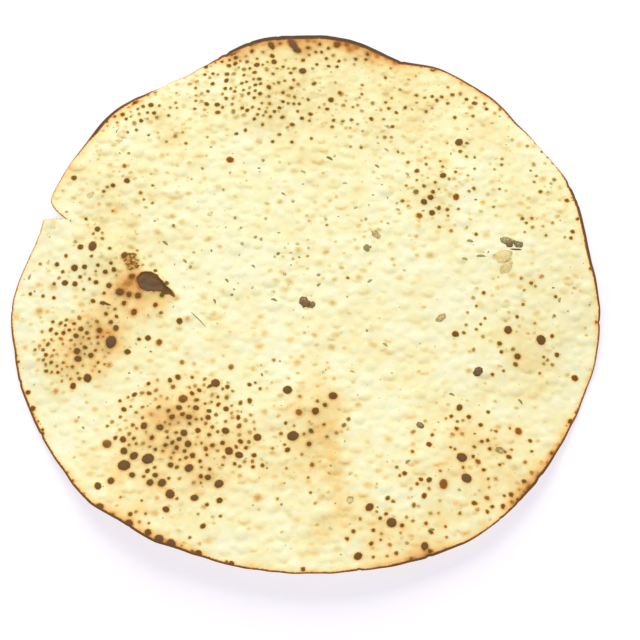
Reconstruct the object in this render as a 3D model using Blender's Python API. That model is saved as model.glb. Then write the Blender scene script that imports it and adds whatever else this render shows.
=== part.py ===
# Papadum: one thin, crisp, flame-roasted round of lentil dough.
# The sheet is a single closed solid. It lies nearly flat on a table, rises and falls in broad
# waves towards its rim, swells where the flame caught it, and carries whole and cracked seeds
# that are baked into its upper face. A short crack runs in from the rim along a raised crease.
# Units are metres, +Z is up, and the origin is under the middle of the sheet, on the table.

import math

import bmesh
import bpy
import numpy as np

MM = 0.001

# ---- driving dimensions, in millimetres and degrees -------------------------------------------
SHEET_RADIUS = 88.9          # of the round between its lobes
SHEET_THICKNESS = 1.15       # away from the rim
RIM_THICKNESS = 0.8
RIM_THINNING_WIDTH = 0.12    # share of the radius over which the sheet thins
RIM_UNDERCUT = 0.15          # how far the lower rim line lies inside the upper one
RINGS = 27                   # rings of triangles from the middle to the rim
RESTING_FLAT = 0.25          # what is taken off the lowest spots, so that they lie flat
SETTLING_STEPS = 4000        # small tilts after which the sheet stands on three low spots
SETTLING_RATE = 0.05
SETTLING_EASE = 10           # steps over which the rate halves

# Lobes and dents of the outline: (angle, reach in or out, half width of the angle)
OUTLINE_LOBES = (
    (10.0, -1.4, 9.0),
    (26.0, 0.9, 6.0),
    (51.0, 1.9, 6.0),
    (62.0, 2.4, 7.0),
    (71.0, -0.7, 3.0),
    (85.0, 4.0, 10.0),
    (101.0, 3.8, 9.0),
    (119.0, -0.6, 9.0),
    (133.0, 2.0, 8.0),
    (166.0, -1.5, 7.0),
    (182.0, 3.2, 9.0),
    (198.0, 3.4, 10.0),
    (213.0, 2.7, 8.0),
    (225.0, 3.9, 7.0),
    (238.0, 2.2, 6.0),
    (270.0, -0.8, 16.0),
    (304.0, 1.4, 12.0),
    (334.0, -0.9, 10.0),
)

# The crack: a V-shaped notch in the rim, from which a raised crease runs inwards
NOTCH_ANGLE = 160.3
NOTCH_DEPTH = 7.4
NOTCH_HALF_WIDTH = 2.5       # degrees, on either side
NOTCH_FADE = 12              # power of the radius with which the notch dies away inwards
CREASE_END = (-31.9, -9.1)   # where the crease has run out
CREASE_RIDGE = 1.5           # height of the ridge at the notch
CREASE_RIDGE_WIDTH = 3.6
CREASE_LIFT = 1.3            # how far the sheet below the crack stands above the other side
CREASE_LIFT_RISE = 5.0
CREASE_LIFT_REACH = 26.0

# Waves of the rim: (number round the rim, height, angle of a crest, power of the radius)
RIM_WAVES = (
    (2, 1.4, 262.0, 2.2),
    (3, 1.8, 262.0, 2.6),
    (5, 1.2, 18.0, 3.4),
    (8, 0.7, 50.0, 5.0),
)
MIDDLE_RISE = 1.2            # how far the middle lies above the mean rim

# Swellings where the flame caught the sheet: (x, y, radius, height)
SWELLINGS = (
    (-13.9, 70.3, 19.0, 1.3),
    (19.1, 62.1, 15.0, 0.9),
    (41.1, 41.2, 15.0, 1.2),
    (-67.1, 38.1, 14.0, 1.0),
    (-69.0, 13.9, 12.0, 1.0),
    (-74.8, -18.2, 16.0, 1.2),
    (-54.1, -1.0, 12.0, 1.0),
    (-37.8, -45.5, 23.0, 1.5),
    (-3.4, -36.0, 14.0, 1.0),
    (35.5, -51.8, 17.0, 1.2),
    (57.3, -19.9, 13.0, 1.0),
)
# The burst blister on the crease, long and narrow along it: (x, y, length, width, height)
BURST_BLISTER = (-48.1, 5.2, 14.0, 9.0, 1.1)

# Blisters spread over the rest of the sheet
BLISTER_COUNT = 130
BLISTER_RADIUS = (4.4, 5.8)
BLISTER_HEIGHT = (0.5, 1.0)
BLISTER_SPACING = 1.45       # least distance between two, in radii
BLISTER_SEED = 41

# Seeds baked into the upper face: (x, y, length, width, height above the face, turn)
LARGE_SEEDS = (
    (-2.0, -0.8, 4.3, 3.5, 0.8, -30.0),
    (62.1, 18.9, 6.2, 2.9, 0.8, -15.0),
    (59.1, 14.2, 3.8, 2.6, 0.4, 10.0),
    (60.0, 10.9, 3.2, 2.2, 0.4, 50.0),
    (20.0, 22.0, 3.2, 1.9, 0.5, -25.0),
    (17.2, 17.9, 2.6, 2.2, 0.6, 0.0),
    (24.1, 59.3, 2.7, 2.2, 0.5, 20.0),
    (-60.2, 57.2, 3.2, 2.8, 0.5, 0.0),
    (-61.1, 36.7, 3.4, 3.0, 0.5, 40.0),
    (-58.1, 21.0, 3.0, 2.4, 0.6, 25.0),
    (-55.0, 14.6, 4.2, 3.0, 0.7, -40.0),
)
# Whole cumin seeds, thin and long, all of one size: (x, y, turn)
CUMIN_PLACES = (
    (5.8, 48.3, -35.0),
    (20.5, 45.4, -42.0),
    (52.3, 14.6, 8.0),
    (49.1, 19.6, -12.0),
    (-34.7, 44.6, -40.0),
    (-39.2, 12.9, -48.0),
    (-11.3, -0.3, -30.0),
    (-29.4, -0.5, -42.0),
    (18.0, 6.2, 35.0),
    (10.3, 13.5, -25.0),
    (-9.1, 35.7, -20.0),
    (-26.3, 6.5, -50.0),
)
CUMIN_LENGTH = 3.2
CUMIN_WIDTH = 1.1
CUMIN_HEIGHT = 0.4
SEED_SIDES = 6
SEED_LEVELS = 3

DOUGH_COLOUR = (0.86, 0.74, 0.44, 1.0)
SEED_COLOUR = (0.10, 0.07, 0.045, 1.0)
DOUGH_ROUGHNESS = 0.62
SEED_ROUGHNESS = 0.7


# ---- outline ----------------------------------------------------------------------------------
def angle_between(theta, angle):
    """Difference of two angles in degrees, from -180 to 180."""
    return (theta - angle + 180.0) % 360.0 - 180.0


def round_outline(theta):
    """Radius of the outline at these angles, without the notch."""
    radius = np.full_like(theta, SHEET_RADIUS)
    for angle, reach, half_width in OUTLINE_LOBES:
        radius += reach * np.exp(-((angle_between(theta, angle) / half_width) ** 2))
    return radius


def notch(theta):
    """How far the notch cuts in at these angles."""
    away = np.abs(angle_between(theta, NOTCH_ANGLE)) / NOTCH_HALF_WIDTH
    return NOTCH_DEPTH * np.clip(1.0 - away, 0.0, 1.0)


def plan_points(share, theta):
    """X and Y of points at a share of the radius, from 0 in the middle to 1 at the rim."""
    radius = share * round_outline(theta) - notch(theta) * share**NOTCH_FADE
    turn = np.radians(theta)
    return radius * np.cos(turn), radius * np.sin(turn)


# ---- height of the sheet's middle surface -----------------------------------------------------
def rim_waves(share, theta):
    height = MIDDLE_RISE * (1.0 - share**2)
    for count, wave_height, crest, power in RIM_WAVES:
        height += wave_height * share**power * np.cos(np.radians(count * (theta - crest)))
    return height


def swell(x, y, centre_x, centre_y, radius, height):
    """A round bump with a soft foot."""
    away = np.hypot(x - centre_x, y - centre_y) / radius
    return height * 0.5 * (1.0 + np.cos(np.pi * np.clip(away, 0.0, 1.0)))


def crease(x, y):
    """The ridge that runs in from the notch, and the lift of the sheet on its lower side."""
    start_x, start_y = plan_points(np.array(1.0), np.array(NOTCH_ANGLE))
    run_x, run_y = CREASE_END[0] - start_x, CREASE_END[1] - start_y
    length = math.hypot(run_x, run_y)
    along = ((x - start_x) * run_x + (y - start_y) * run_y) / length**2
    across = ((x - start_x) * run_y - (y - start_y) * run_x) / length
    left = np.clip(1.0 - along, 0.0, 1.0) ** 0.8
    ridge = CREASE_RIDGE * left * np.exp(-((across / CREASE_RIDGE_WIDTH) ** 2))
    rise = np.clip(across / CREASE_LIFT_RISE, 0.0, 1.0)
    rise = rise * rise * (3.0 - 2.0 * rise)
    lift = CREASE_LIFT * left * rise * np.exp(-((across / CREASE_LIFT_REACH) ** 2))
    return ridge + lift


def burst_blister(x, y):
    centre_x, centre_y, length, width, height = BURST_BLISTER
    turn = math.atan2(CREASE_END[1] - centre_y, CREASE_END[0] - centre_x)
    along = (x - centre_x) * math.cos(turn) + (y - centre_y) * math.sin(turn)
    across = (y - centre_y) * math.cos(turn) - (x - centre_x) * math.sin(turn)
    away = np.hypot(along / (length / 2), across / (width / 2))
    return height * np.clip(1.0 - away**2, 0.0, 1.0)


def scattered_blisters():
    """Centres, radii and heights of the blisters, spread by a seeded draw that keeps them apart."""
    draw = np.random.default_rng(BLISTER_SEED)
    blisters = []
    while len(blisters) < BLISTER_COUNT:
        share = math.sqrt(draw.random())
        theta = draw.uniform(0.0, 360.0)
        radius = draw.uniform(*BLISTER_RADIUS)
        height = draw.uniform(*BLISTER_HEIGHT)
        x, y = plan_points(np.array(share), np.array(theta))
        gaps = (math.hypot(x - b[0], y - b[1]) - BLISTER_SPACING * (radius + b[2]) / 2 for b in blisters)
        if all(gap > 0.0 for gap in gaps):
            blisters.append((float(x), float(y), radius, height))
    return blisters


def sheet_height(share, theta, blisters):
    x, y = plan_points(share, theta)
    height = rim_waves(share, theta) + crease(x, y) + burst_blister(x, y)
    for swelling in SWELLINGS:
        height += swell(x, y, *swelling)
    for blister in blisters:
        height += swell(x, y, *blister)
    return height


# ---- the sheet as one closed mesh -------------------------------------------------------------
def ring_points():
    """Share of the radius and angle of every point: one in the middle, then 6, 12, 18 and so on."""
    shares, angles = [0.0], [0.0]
    for ring in range(1, RINGS + 1):
        count = 6 * ring
        for step in range(count):
            shares.append(ring / RINGS)
            angles.append(NOTCH_ANGLE + 360.0 * step / count)
    return np.array(shares), np.array(angles)


def ring_start(ring):
    """Number of the first point of a ring."""
    return 0 if ring == 0 else 1 + 3 * ring * (ring - 1)


def ring_point(ring, step):
    return ring_start(ring) + (step % (6 * ring) if ring else 0)


def ring_triangles():
    """Triangles between neighbouring rings, turned anticlockwise as seen from above."""
    triangles = []
    for ring in range(1, RINGS + 1):
        for sextant in range(6):
            for step in range(ring):
                outer = sextant * ring + step
                inner = sextant * (ring - 1) + step
                here = ring_point(ring - 1, inner)
                triangles.append((here, ring_point(ring, outer), ring_point(ring, outer + 1)))
                if step < ring - 1:
                    triangles.append((here, ring_point(ring, outer + 1), ring_point(ring - 1, inner + 1)))
    return triangles


def settled(x, y, height):
    """The heights after the sheet has tilted until its weight stands between its lowest spots."""
    plan = np.column_stack([x, y])
    slope = np.zeros(2)
    for step in range(SETTLING_STEPS):
        foot = plan[np.argmin(height - plan @ slope)]
        rate = SETTLING_RATE / (step + SETTLING_EASE)
        slope += rate * (plan.mean(axis=0) - foot) / SHEET_RADIUS
    return height - plan @ slope


def sheet_points():
    """The upper and lower points of the sheet, resting on the table with its middle at the origin."""
    share, theta = ring_points()
    x, y = plan_points(share, theta)
    middle = settled(x, y, sheet_height(share, theta, scattered_blisters()))
    thinning = np.clip((share - 1.0 + RIM_THINNING_WIDTH) / RIM_THINNING_WIDTH, 0.0, 1.0)
    thickness = SHEET_THICKNESS + (RIM_THICKNESS - SHEET_THICKNESS) * thinning
    upper = np.column_stack([x, y, middle + thickness / 2])
    lower = np.column_stack([x, y, middle - thickness / 2])
    rim = share == 1.0
    lower[rim, :2] *= 1.0 - RIM_UNDERCUT / SHEET_RADIUS
    floor = lower[:, 2].min() + RESTING_FLAT
    lower[:, 2] = np.maximum(lower[:, 2] - floor, 0.0)
    upper[:, 2] -= floor
    centre = (upper[:, :2].max(axis=0) + upper[:, :2].min(axis=0)) / 2
    upper[:, :2] -= centre
    lower[:, :2] -= centre
    return upper, lower, centre


def build_sheet(material):
    """The sheet's object, with the heights of its upper face and the shift that centred it."""
    upper, lower, centre = sheet_points()
    shape = bmesh.new()
    top = [shape.verts.new(point * MM) for point in upper]
    under = [shape.verts.new(point * MM) for point in lower]
    for a, b, c in ring_triangles():
        shape.faces.new((top[a], top[b], top[c]))
        shape.faces.new((under[c], under[b], under[a]))
    for step in range(6 * RINGS):
        here, there = ring_point(RINGS, step), ring_point(RINGS, step + 1)
        shape.faces.new((under[here], under[there], top[there], top[here]))
    mesh = bpy.data.meshes.new("papadum")
    shape.to_mesh(mesh)
    shape.free()
    mesh.materials.append(material)
    sheet = bpy.data.objects.new("papadum", mesh)
    bpy.context.scene.collection.objects.link(sheet)
    return sheet, upper, centre


# ---- seeds ------------------------------------------------------------------------------------
def face_height(upper, x, y):
    """Height of the upper face near a place: the mean of its three nearest points."""
    away = np.hypot(upper[:, 0] - x, upper[:, 1] - y)
    return upper[np.argsort(away)[:3], 2].mean()


def build_seed(name, place, size, turn, material, collection):
    """A blunt faceted grain, half sunk in the sheet. Place and size are in millimetres."""
    shape = bmesh.new()
    bmesh.ops.create_uvsphere(shape, u_segments=SEED_SIDES, v_segments=SEED_LEVELS + 1, radius=0.5)
    for vert in shape.verts:
        vert.co = [vert.co[axis] * size[axis] * MM for axis in range(3)]
    mesh = bpy.data.meshes.new(name)
    shape.to_mesh(mesh)
    shape.free()
    mesh.materials.append(material)
    seed = bpy.data.objects.new(name, mesh)
    seed.location = [value * MM for value in place]
    seed.rotation_euler.z = math.radians(turn)
    collection.objects.link(seed)
    return seed


def seed_rows():
    """Every fused seed as (x, y, length, width, height above the face, turn)."""
    cumin = [(x, y, CUMIN_LENGTH, CUMIN_WIDTH, CUMIN_HEIGHT, turn) for x, y, turn in CUMIN_PLACES]
    return list(LARGE_SEEDS) + cumin


def fuse_seeds(sheet, upper, centre, material):
    """Joins the seeds to the sheet by one Boolean union, which is applied."""
    seeds = bpy.data.collections.new("seeds")
    bpy.context.scene.collection.children.link(seeds)
    for number, (x, y, length, width, height, turn) in enumerate(seed_rows()):
        x, y = x - centre[0], y - centre[1]
        place = (x, y, face_height(upper, x, y))
        size = (length, width, 2 * height)
        build_seed(f"seed_{number:02d}", place, size, turn, material, seeds)
    union = sheet.modifiers.new("seeds", "BOOLEAN")
    union.operation = "UNION"
    union.operand_type = "COLLECTION"
    union.collection = seeds
    union.solver = "EXACT"
    union.material_mode = "TRANSFER"
    bpy.context.view_layer.update()
    graph = bpy.context.evaluated_depsgraph_get()
    fused = bpy.data.meshes.new_from_object(sheet.evaluated_get(graph), depsgraph=graph)
    fused.name = "papadum"
    sheet.modifiers.clear()
    sheet.data = fused
    for grain in [seed.data for seed in seeds.objects]:
        bpy.data.meshes.remove(grain, do_unlink=True)
    bpy.data.collections.remove(seeds)


# ---- materials and assembly -------------------------------------------------------------------
def plain_material(name, colour, roughness):
    material = bpy.data.materials.new(name)
    material.use_nodes = True
    shader = material.node_tree.nodes["Principled BSDF"]
    shader.inputs["Base Color"].default_value = colour
    shader.inputs["Roughness"].default_value = roughness
    shader.inputs["Metallic"].default_value = 0.0
    material.diffuse_color = colour
    return material


def main():
    for obj in list(bpy.data.objects):
        bpy.data.objects.remove(obj, do_unlink=True)
    dough = plain_material("roasted_dough", DOUGH_COLOUR, DOUGH_ROUGHNESS)
    seed = plain_material("toasted_seed", SEED_COLOUR, SEED_ROUGHNESS)
    sheet, upper, centre = build_sheet(dough)
    fuse_seeds(sheet, upper, centre, seed)
    sheet.data.shade_smooth()


main()
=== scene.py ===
import math
import bmesh
import bpy
import numpy as np
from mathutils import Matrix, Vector, noise
from mathutils.bvhtree import BVHTree
from mathutils.geometry import delaunay_2d_cdt


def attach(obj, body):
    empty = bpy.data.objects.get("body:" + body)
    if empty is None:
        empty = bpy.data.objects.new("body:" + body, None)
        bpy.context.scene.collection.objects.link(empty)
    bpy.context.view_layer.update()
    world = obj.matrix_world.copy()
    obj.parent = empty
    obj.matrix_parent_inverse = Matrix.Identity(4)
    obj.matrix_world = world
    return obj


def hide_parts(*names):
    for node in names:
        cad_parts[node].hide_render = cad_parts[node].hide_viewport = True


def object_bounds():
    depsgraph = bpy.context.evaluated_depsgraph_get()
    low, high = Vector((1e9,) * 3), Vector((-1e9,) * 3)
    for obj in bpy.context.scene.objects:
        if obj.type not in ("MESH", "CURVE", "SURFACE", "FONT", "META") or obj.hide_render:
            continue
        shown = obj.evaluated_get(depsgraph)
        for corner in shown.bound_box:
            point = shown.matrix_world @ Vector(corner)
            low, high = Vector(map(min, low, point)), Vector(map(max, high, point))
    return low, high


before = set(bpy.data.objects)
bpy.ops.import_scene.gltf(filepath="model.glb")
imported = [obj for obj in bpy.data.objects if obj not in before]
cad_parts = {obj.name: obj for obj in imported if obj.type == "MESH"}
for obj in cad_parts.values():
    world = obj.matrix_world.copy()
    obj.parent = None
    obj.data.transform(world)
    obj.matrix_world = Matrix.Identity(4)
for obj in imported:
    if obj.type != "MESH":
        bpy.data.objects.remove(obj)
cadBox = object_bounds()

# A flame-roasted papadum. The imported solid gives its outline, its waves and its thickness. On that
# form come the fine blisters, the char spots, the scorched rim and the seeds baked into the dough.
# Lengths are millimetres until a mesh, a light or the camera is made.
mm = 0.001
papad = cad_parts["papadum"]

# the view of the photo, whose pixels say where the large spots and seeds lie
photoView = {
    "pixels": 640,
    "lens": 135.0,
    "sensor": 36.0,
    "elevation": 68.0,
    "lookAt": (4.469, -8.789, 3.5),
    "distance": 734.4,
    "clip": (0.02, 30.0),      # metres
}
pixelSize = photoView["distance"] * photoView["sensor"] / photoView["lens"] / photoView["pixels"]


def viewAxes():
    tilt = math.radians(photoView["elevation"])
    ahead = Vector((0, math.cos(tilt), -math.sin(tilt)))
    up = Vector((0, math.sin(tilt), math.cos(tilt)))
    eye = Vector(photoView["lookAt"]) - ahead * photoView["distance"]
    return eye, ahead, up


def placeCamera():
    eye, ahead, _ = viewAxes()
    lens = bpy.data.cameras.new("photoCamera")
    lens.lens = photoView["lens"]
    lens.sensor_width = photoView["sensor"]
    lens.clip_start, lens.clip_end = photoView["clip"]
    camera = bpy.data.objects.new("photoCamera", lens)
    camera.location = eye * mm
    camera.rotation_euler = ahead.to_track_quat("-Z", "Y").to_euler()
    bpy.context.scene.collection.objects.link(camera)
    bpy.context.scene.camera = camera


placeCamera()
print("camera stands where the photo was taken from")

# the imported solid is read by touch: straight rays find its two faces and its outline
corners = [vert.co / mm for vert in papad.data.vertices]
solid = BVHTree.FromPolygons(corners, [face.vertices[:] for face in papad.data.polygons])
overhead = 60.0                # height from which the rays start

grid = {
    "reach": 94.0,             # half the side of every map of the sheet
    "step": 0.25,
    "rayStep": 1.0,
    "facetBlur": 1.5,          # takes the facets out of the solid's faces
    "kinkBlur": 0.7,
}
gridLine = np.arange(-grid["reach"], grid["reach"] + grid["step"] / 2, grid["step"])
gridX, gridY = np.meshgrid(gridLine, gridLine)


def blurred(field, size, step=grid["step"]):
    rows = np.fft.fftfreq(field.shape[0])[:, None]
    columns = np.fft.rfftfreq(field.shape[1])[None, :]
    fade = np.exp(-2 * (math.pi * size / step) ** 2 * (rows ** 2 + columns ** 2))
    return np.fft.irfft2(np.fft.rfft2(field) * fade, field.shape)


def readAt(field, x, y, step=grid["step"]):
    # height or strength of a map at any place, between its four nearest cells
    column = np.clip((np.asarray(x) + grid["reach"]) / step, 0, field.shape[1] - 1.001)
    row = np.clip((np.asarray(y) + grid["reach"]) / step, 0, field.shape[0] - 1.001)
    left, below = column.astype(int), row.astype(int)
    a, b = column - left, row - below
    near = field[below, left] * (1 - a) + field[below, left + 1] * a
    far = field[below + 1, left] * (1 - a) + field[below + 1, left + 1] * a
    return near * (1 - b) + far * b


def unevenness(seed, size):
    # soft random hills of this size, with a spread of 1
    field = blurred(np.random.default_rng(seed).standard_normal(gridX.shape), size)
    return field / field.std()


def touchFrom(x, y, above):
    start = (x, y, overhead if above else -overhead)
    return solid.ray_cast(start, (0, 0, -1 if above else 1))[0]


def readFaces():
    line = np.arange(-grid["reach"], grid["reach"] + grid["rayStep"] / 2, grid["rayStep"])
    upper, lower, found = (np.zeros((len(line), len(line))) for _ in range(3))
    for row, y in enumerate(line):
        for column, x in enumerate(line):
            top = touchFrom(x, y, True)
            if top is None:
                continue
            upper[row, column] = top.z
            lower[row, column] = touchFrom(x, y, False).z
            found[row, column] = 1
    weight = blurred(found, grid["facetBlur"], grid["rayStep"]) + 1e-6
    smooth = []
    for face in (upper, lower):
        even = blurred(face * found, grid["facetBlur"], grid["rayStep"]) / weight
        smooth.append(readAt(even, gridX, gridY, grid["rayStep"]))
    return [blurred(face, grid["kinkBlur"]) for face in smooth]


def onSheet(px, py):
    # where the line of sight through a pixel of the photo meets the sheet
    eye, ahead, up = viewAxes()
    half = photoView["pixels"] / 2
    focal = photoView["pixels"] * photoView["lens"] / photoView["sensor"]
    way = ahead * focal + Vector((1, 0, 0)) * (px - half) - up * (py - half)
    hit = solid.ray_cast(eye, way.normalized())[0]
    if hit is None:
        hit = eye + way * ((photoView["lookAt"][2] - eye.z) / way.z)
    return hit.x, hit.y


upperFace, lowerFace = readFaces()
print("both faces of the solid read")

rim = {
    "steps": 1080,             # points round the sheet
    "start": 95.0,             # the search for the outline comes in from here
    "searchStep": 2.0,
    "searchHalvings": 8,
    "smooth": 1.1,             # degrees, takes the corners out of the solid's outline
    "broad": 6.0,              # degrees, what is narrower than this counts as the notch
    "notchWindow": 3.4,
    "notchHook": (3.4, 2.0),   # degrees and power on the side where the rim curls into the notch
    "notchLip": (1.75, 1.0),   # the same on the straight side
    "ragged": 0.08,
    "raggedSize": 1.1,         # degrees
    "bites": 26,
    "biteDepth": (0.08, 0.28),
    "biteWidth": (0.3, 0.8),   # degrees
    "seed": 7,
}
rimAngle = np.arange(rim["steps"]) * 360.0 / rim["steps"]


def turnBetween(angle, other):
    return (angle - other + 180.0) % 360.0 - 180.0


def smoothRound(values, size):
    # blurs values that run round the rim, by a width in degrees
    rate = np.fft.rfftfreq(len(values)) * len(values) / 360.0
    fade = np.exp(-2 * (math.pi * size * rate) ** 2)
    return np.fft.irfft(np.fft.rfft(values) * fade, len(values))


def feelOutline():
    reach = np.zeros(rim["steps"])
    for step, angle in enumerate(np.radians(rimAngle)):
        across, along = math.cos(angle), math.sin(angle)
        inside = rim["start"]
        while touchFrom(across * inside, along * inside, True) is None:
            inside -= rim["searchStep"]
        outside = inside + rim["searchStep"]
        for _ in range(rim["searchHalvings"]):
            middle = (inside + outside) / 2
            if touchFrom(across * middle, along * middle, True) is None:
                outside = middle
            else:
                inside = middle
        reach[step] = inside
    return reach


def shapeOutline():
    # the solid's outline made round between its corners, with the notch and a ragged burnt edge
    felt = feelOutline()
    tip = int(np.argmin(felt - smoothRound(felt, rim["broad"])))
    notchAngle = rimAngle[tip]
    away = turnBetween(rimAngle, notchAngle)
    clear = np.abs(away) > rim["notchWindow"]
    order = np.argsort(away)
    keep = order[clear[order]]
    bridged = np.interp(away, away[keep], felt[keep])
    smooth = smoothRound(bridged, rim["smooth"])
    depth = smooth[tip] - felt[tip]
    hookWidth, hookPower = rim["notchHook"]
    lipWidth, lipPower = rim["notchLip"]
    hook = np.clip(1 + away / hookWidth, 0, 1) ** hookPower
    lip = np.clip(1 - away / lipWidth, 0, 1) ** lipPower
    cut = depth * np.where(away < 0, hook, lip)
    draw = np.random.default_rng(rim["seed"])
    rough = smoothRound(draw.standard_normal(rim["steps"]), rim["raggedSize"])
    edge = smooth - cut + rim["ragged"] * rough / rough.std()
    for _ in range(rim["bites"]):
        centre, width = draw.uniform(0, 360), draw.uniform(*rim["biteWidth"])
        bite = np.clip(1 - (turnBetween(rimAngle, centre) / width) ** 2, 0, 1)
        edge -= draw.uniform(*rim["biteDepth"]) * bite
    return edge, notchAngle, depth


rimReach, notchAngle, notchDepth = shapeOutline()
print(f"outline read: notch at {notchAngle:.1f} degrees, {notchDepth:.1f} mm deep")


def polar(angle, reach):
    turn = np.radians(angle)
    return reach * np.cos(turn), reach * np.sin(turn)


def rimReachAt(x, y):
    angle = np.degrees(np.arctan2(y, x)) % 360.0
    return np.interp(angle, np.append(rimAngle, 360.0), np.append(rimReach, rimReach[0]))


def insideRim(x, y):
    return rimReachAt(x, y) - np.hypot(x, y)


# char spots: the large ones by their place in the photo (across, down, width in pixels)
blackSpots = {
    "left edge": [
        (74, 178, 6), (127, 181, 6), (113, 185.5, 5), (86, 219, 4), (97.5, 229.5, 6), (80.5, 247, 6),
        (66, 256, 4), (57, 264.5, 5), (74.5, 268, 7), (84.5, 267, 5), (63, 272, 4), (65, 283, 6),
        (75, 284, 6), (54, 284, 4), (43, 296, 4), (54, 298, 4), (98, 265, 4),
    ],
    "along the crease": [
        (111, 263, 4), (114, 270, 5), (105.5, 272, 5), (155.5, 271, 4), (109, 285.5, 6),
        (132, 276.5, 6), (166.5, 283.5, 5), (120, 292, 8), (129, 294.5, 6), (138, 295.5, 7),
        (162, 295, 5), (93, 301, 5), (124, 303, 5), (155.5, 305, 5), (161, 313, 4), (106, 314, 5),
        (179.5, 321, 6),
    ],
    "lower left": [
        (63.5, 333, 5), (76, 336, 6), (81, 329, 6), (87, 333, 5), (77, 351, 7), (85, 347.5, 5),
        (78, 359, 7), (91, 355.5, 6), (99.5, 330.5, 6), (116, 328, 6), (111, 322.5, 5.5), (46, 355, 5),
        (87.5, 378, 8), (73, 386, 6), (127.5, 352, 6), (139, 339.5, 4), (148, 338, 6),
    ],
    "below the middle": [
        (178, 377, 6), (215.5, 383, 8.5), (227.5, 387, 5), (249.5, 384.5, 5), (287.5, 390, 9),
        (315.5, 411, 7), (333, 396, 8), (325, 405, 5), (257.5, 437.5, 8), (293, 436, 10),
        (287.5, 450, 5), (311, 431, 5), (309, 444, 5.5), (254, 455.5, 5), (253, 467, 4),
    ],
    "lower cluster": [
        (179, 407.5, 6), (196, 408, 6), (226, 409, 6), (209, 411, 5), (208, 417.5, 6), (189, 417, 6),
        (182.5, 414, 5), (172, 417, 6), (144, 426, 7), (160, 427.5, 7), (184, 433, 7), (198, 430.5, 6),
        (209, 435, 5), (225.5, 431, 7), (123, 439.5, 6), (152, 437.5, 5), (172.5, 442.5, 5),
        (179, 439, 5), (188, 444, 7), (212.5, 445.5, 5), (222.5, 443, 5), (124, 451, 7), (134, 456, 8),
        (148, 459, 11), (124, 465.5, 11), (132, 475, 6), (147.5, 471, 5), (170.5, 465, 6),
        (192.5, 455.5, 6), (184.5, 451, 5), (189, 468, 8), (229, 451, 8), (239, 455, 7), (111, 481, 7),
        (98, 486, 7), (150, 482.5, 7), (162, 483, 8), (170, 494, 9), (194.5, 498, 7), (208, 477.5, 6),
        (219, 484, 8), (219.5, 500.5, 6), (166, 509.5, 6), (203, 526, 5),
    ],
    "on the rim": [
        (28, 392.5, 5), (33, 409, 6), (42.5, 434, 4), (72.5, 481, 4), (99, 507, 8), (112, 515, 5),
        (129, 523, 8), (148, 532.5, 7), (159, 539, 9), (171, 544, 9), (198, 554, 8), (231, 564, 6),
        (303, 569, 5), (337, 45, 7), (379, 51, 6), (92, 125, 4),
    ],
    "top": [
        (274, 62, 6), (231, 54.5, 5), (206, 67, 5), (302.5, 71, 7), (331, 100, 6), (151, 105, 6),
    ],
    "right": [
        (459, 142.5, 8), (443, 175.5, 6), (433, 192, 5), (430.5, 197.5, 6), (424, 202, 6),
        (432, 213, 6), (417, 171, 5), (424, 186, 4), (466.5, 99.5, 4), (486.5, 109, 4), (476, 234.5, 4),
        (567, 200.5, 5), (577.5, 219, 4), (572.5, 232, 5), (571, 238, 4), (546, 235.5, 3),
    ],
}
# those that only browned, by their colour: (across, down, width in pixels, how burnt)
brownSpots = [(230, 160, 9, 0.74), (124.5, 166, 6, 0.64), (134, 312, 8, 0.76), (159, 342.5, 8, 0.68),
              (183, 399, 11, 0.72), (299, 412.5, 9, 0.69), (107, 444, 11, 0.68), (312, 465, 6, 0.66),
              (456, 197, 8, 0.76), (419, 216, 9, 0.68), (122.5, 114.5, 6, 0.80), (106, 121, 6, 0.85)]
oliveSpots = [(140.5, 193, 5, 0.62), (182, 362.5, 6, 0.61), (231, 367, 7, 0.64), (132.5, 425, 5, 0.68),
              (451, 231, 5, 0.56), (532.5, 227.5, 5, 0.54), (552.5, 223, 4, 0.54), (72.5, 367, 5, 0.66),
              (416, 192, 7, 0.65), (173, 387, 6, 0.66)]
tanSpots = [(115, 211, 9, 0.40), (99, 204.5, 5, 0.52), (187.5, 319, 5, 0.47), (109, 365, 8, 0.59),
            (56, 391, 7, 0.53), (136, 368, 6, 0.46), (175, 348, 9, 0.31), (194, 364, 5, 0.46),
            (213, 361, 7, 0.33), (257.5, 498, 9, 0.52), (240, 476, 6, 0.54), (157, 498, 6, 0.48),
            (341, 94, 7, 0.62), (470.5, 107.5, 7, 0.53), (447, 100, 6, 0.42), (427.5, 102.5, 7, 0.36),
            (519, 145, 7, 0.34), (483, 202.5, 6, 0.48), (560, 187.5, 6, 0.46), (409, 207, 6, 0.44),
            (407, 165, 8, 0.26), (108, 190, 7, 0.24), (39.5, 311, 8, 0.52), (204, 507, 6, 0.55)]
# scorched blisters that are drawn out: (across, down, length, width in pixels, turn)
longSpots = [(124.5, 255.5, 9, 6.5, 62), (271.5, 46, 10.5, 6.6, -62), (293, 45, 16, 8, -58),
             (297, 50.5, 10, 7, -25), (92.5, 246, 12, 8.6, 85), (111, 342, 13.8, 11.4, 78),
             (103, 303.5, 7, 4.5, -18), (210.5, 386, 8, 3.5, 28), (105.5, 304, 13, 1.6, -20)]

# small knobs of char by the rim: (first and last angle, how many, least and most radius, how far in, in mm)
rimKnobs = [(62, 112, 46, 0.25, 0.6, 1.5), (124, 140, 16, 0.3, 0.8, 0.9), (20, 60, 20, 0.25, 0.5, 0.7),
            (218, 256, 16, 0.35, 0.8, 0.8), (190, 214, 10, 0.3, 0.7, 0.7), (284, 300, 9, 0.3, 0.9, 0.7),
            (310, 336, 18, 0.3, 0.9, 0.9), (350, 372, 10, 0.3, 0.7, 0.7)]

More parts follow.
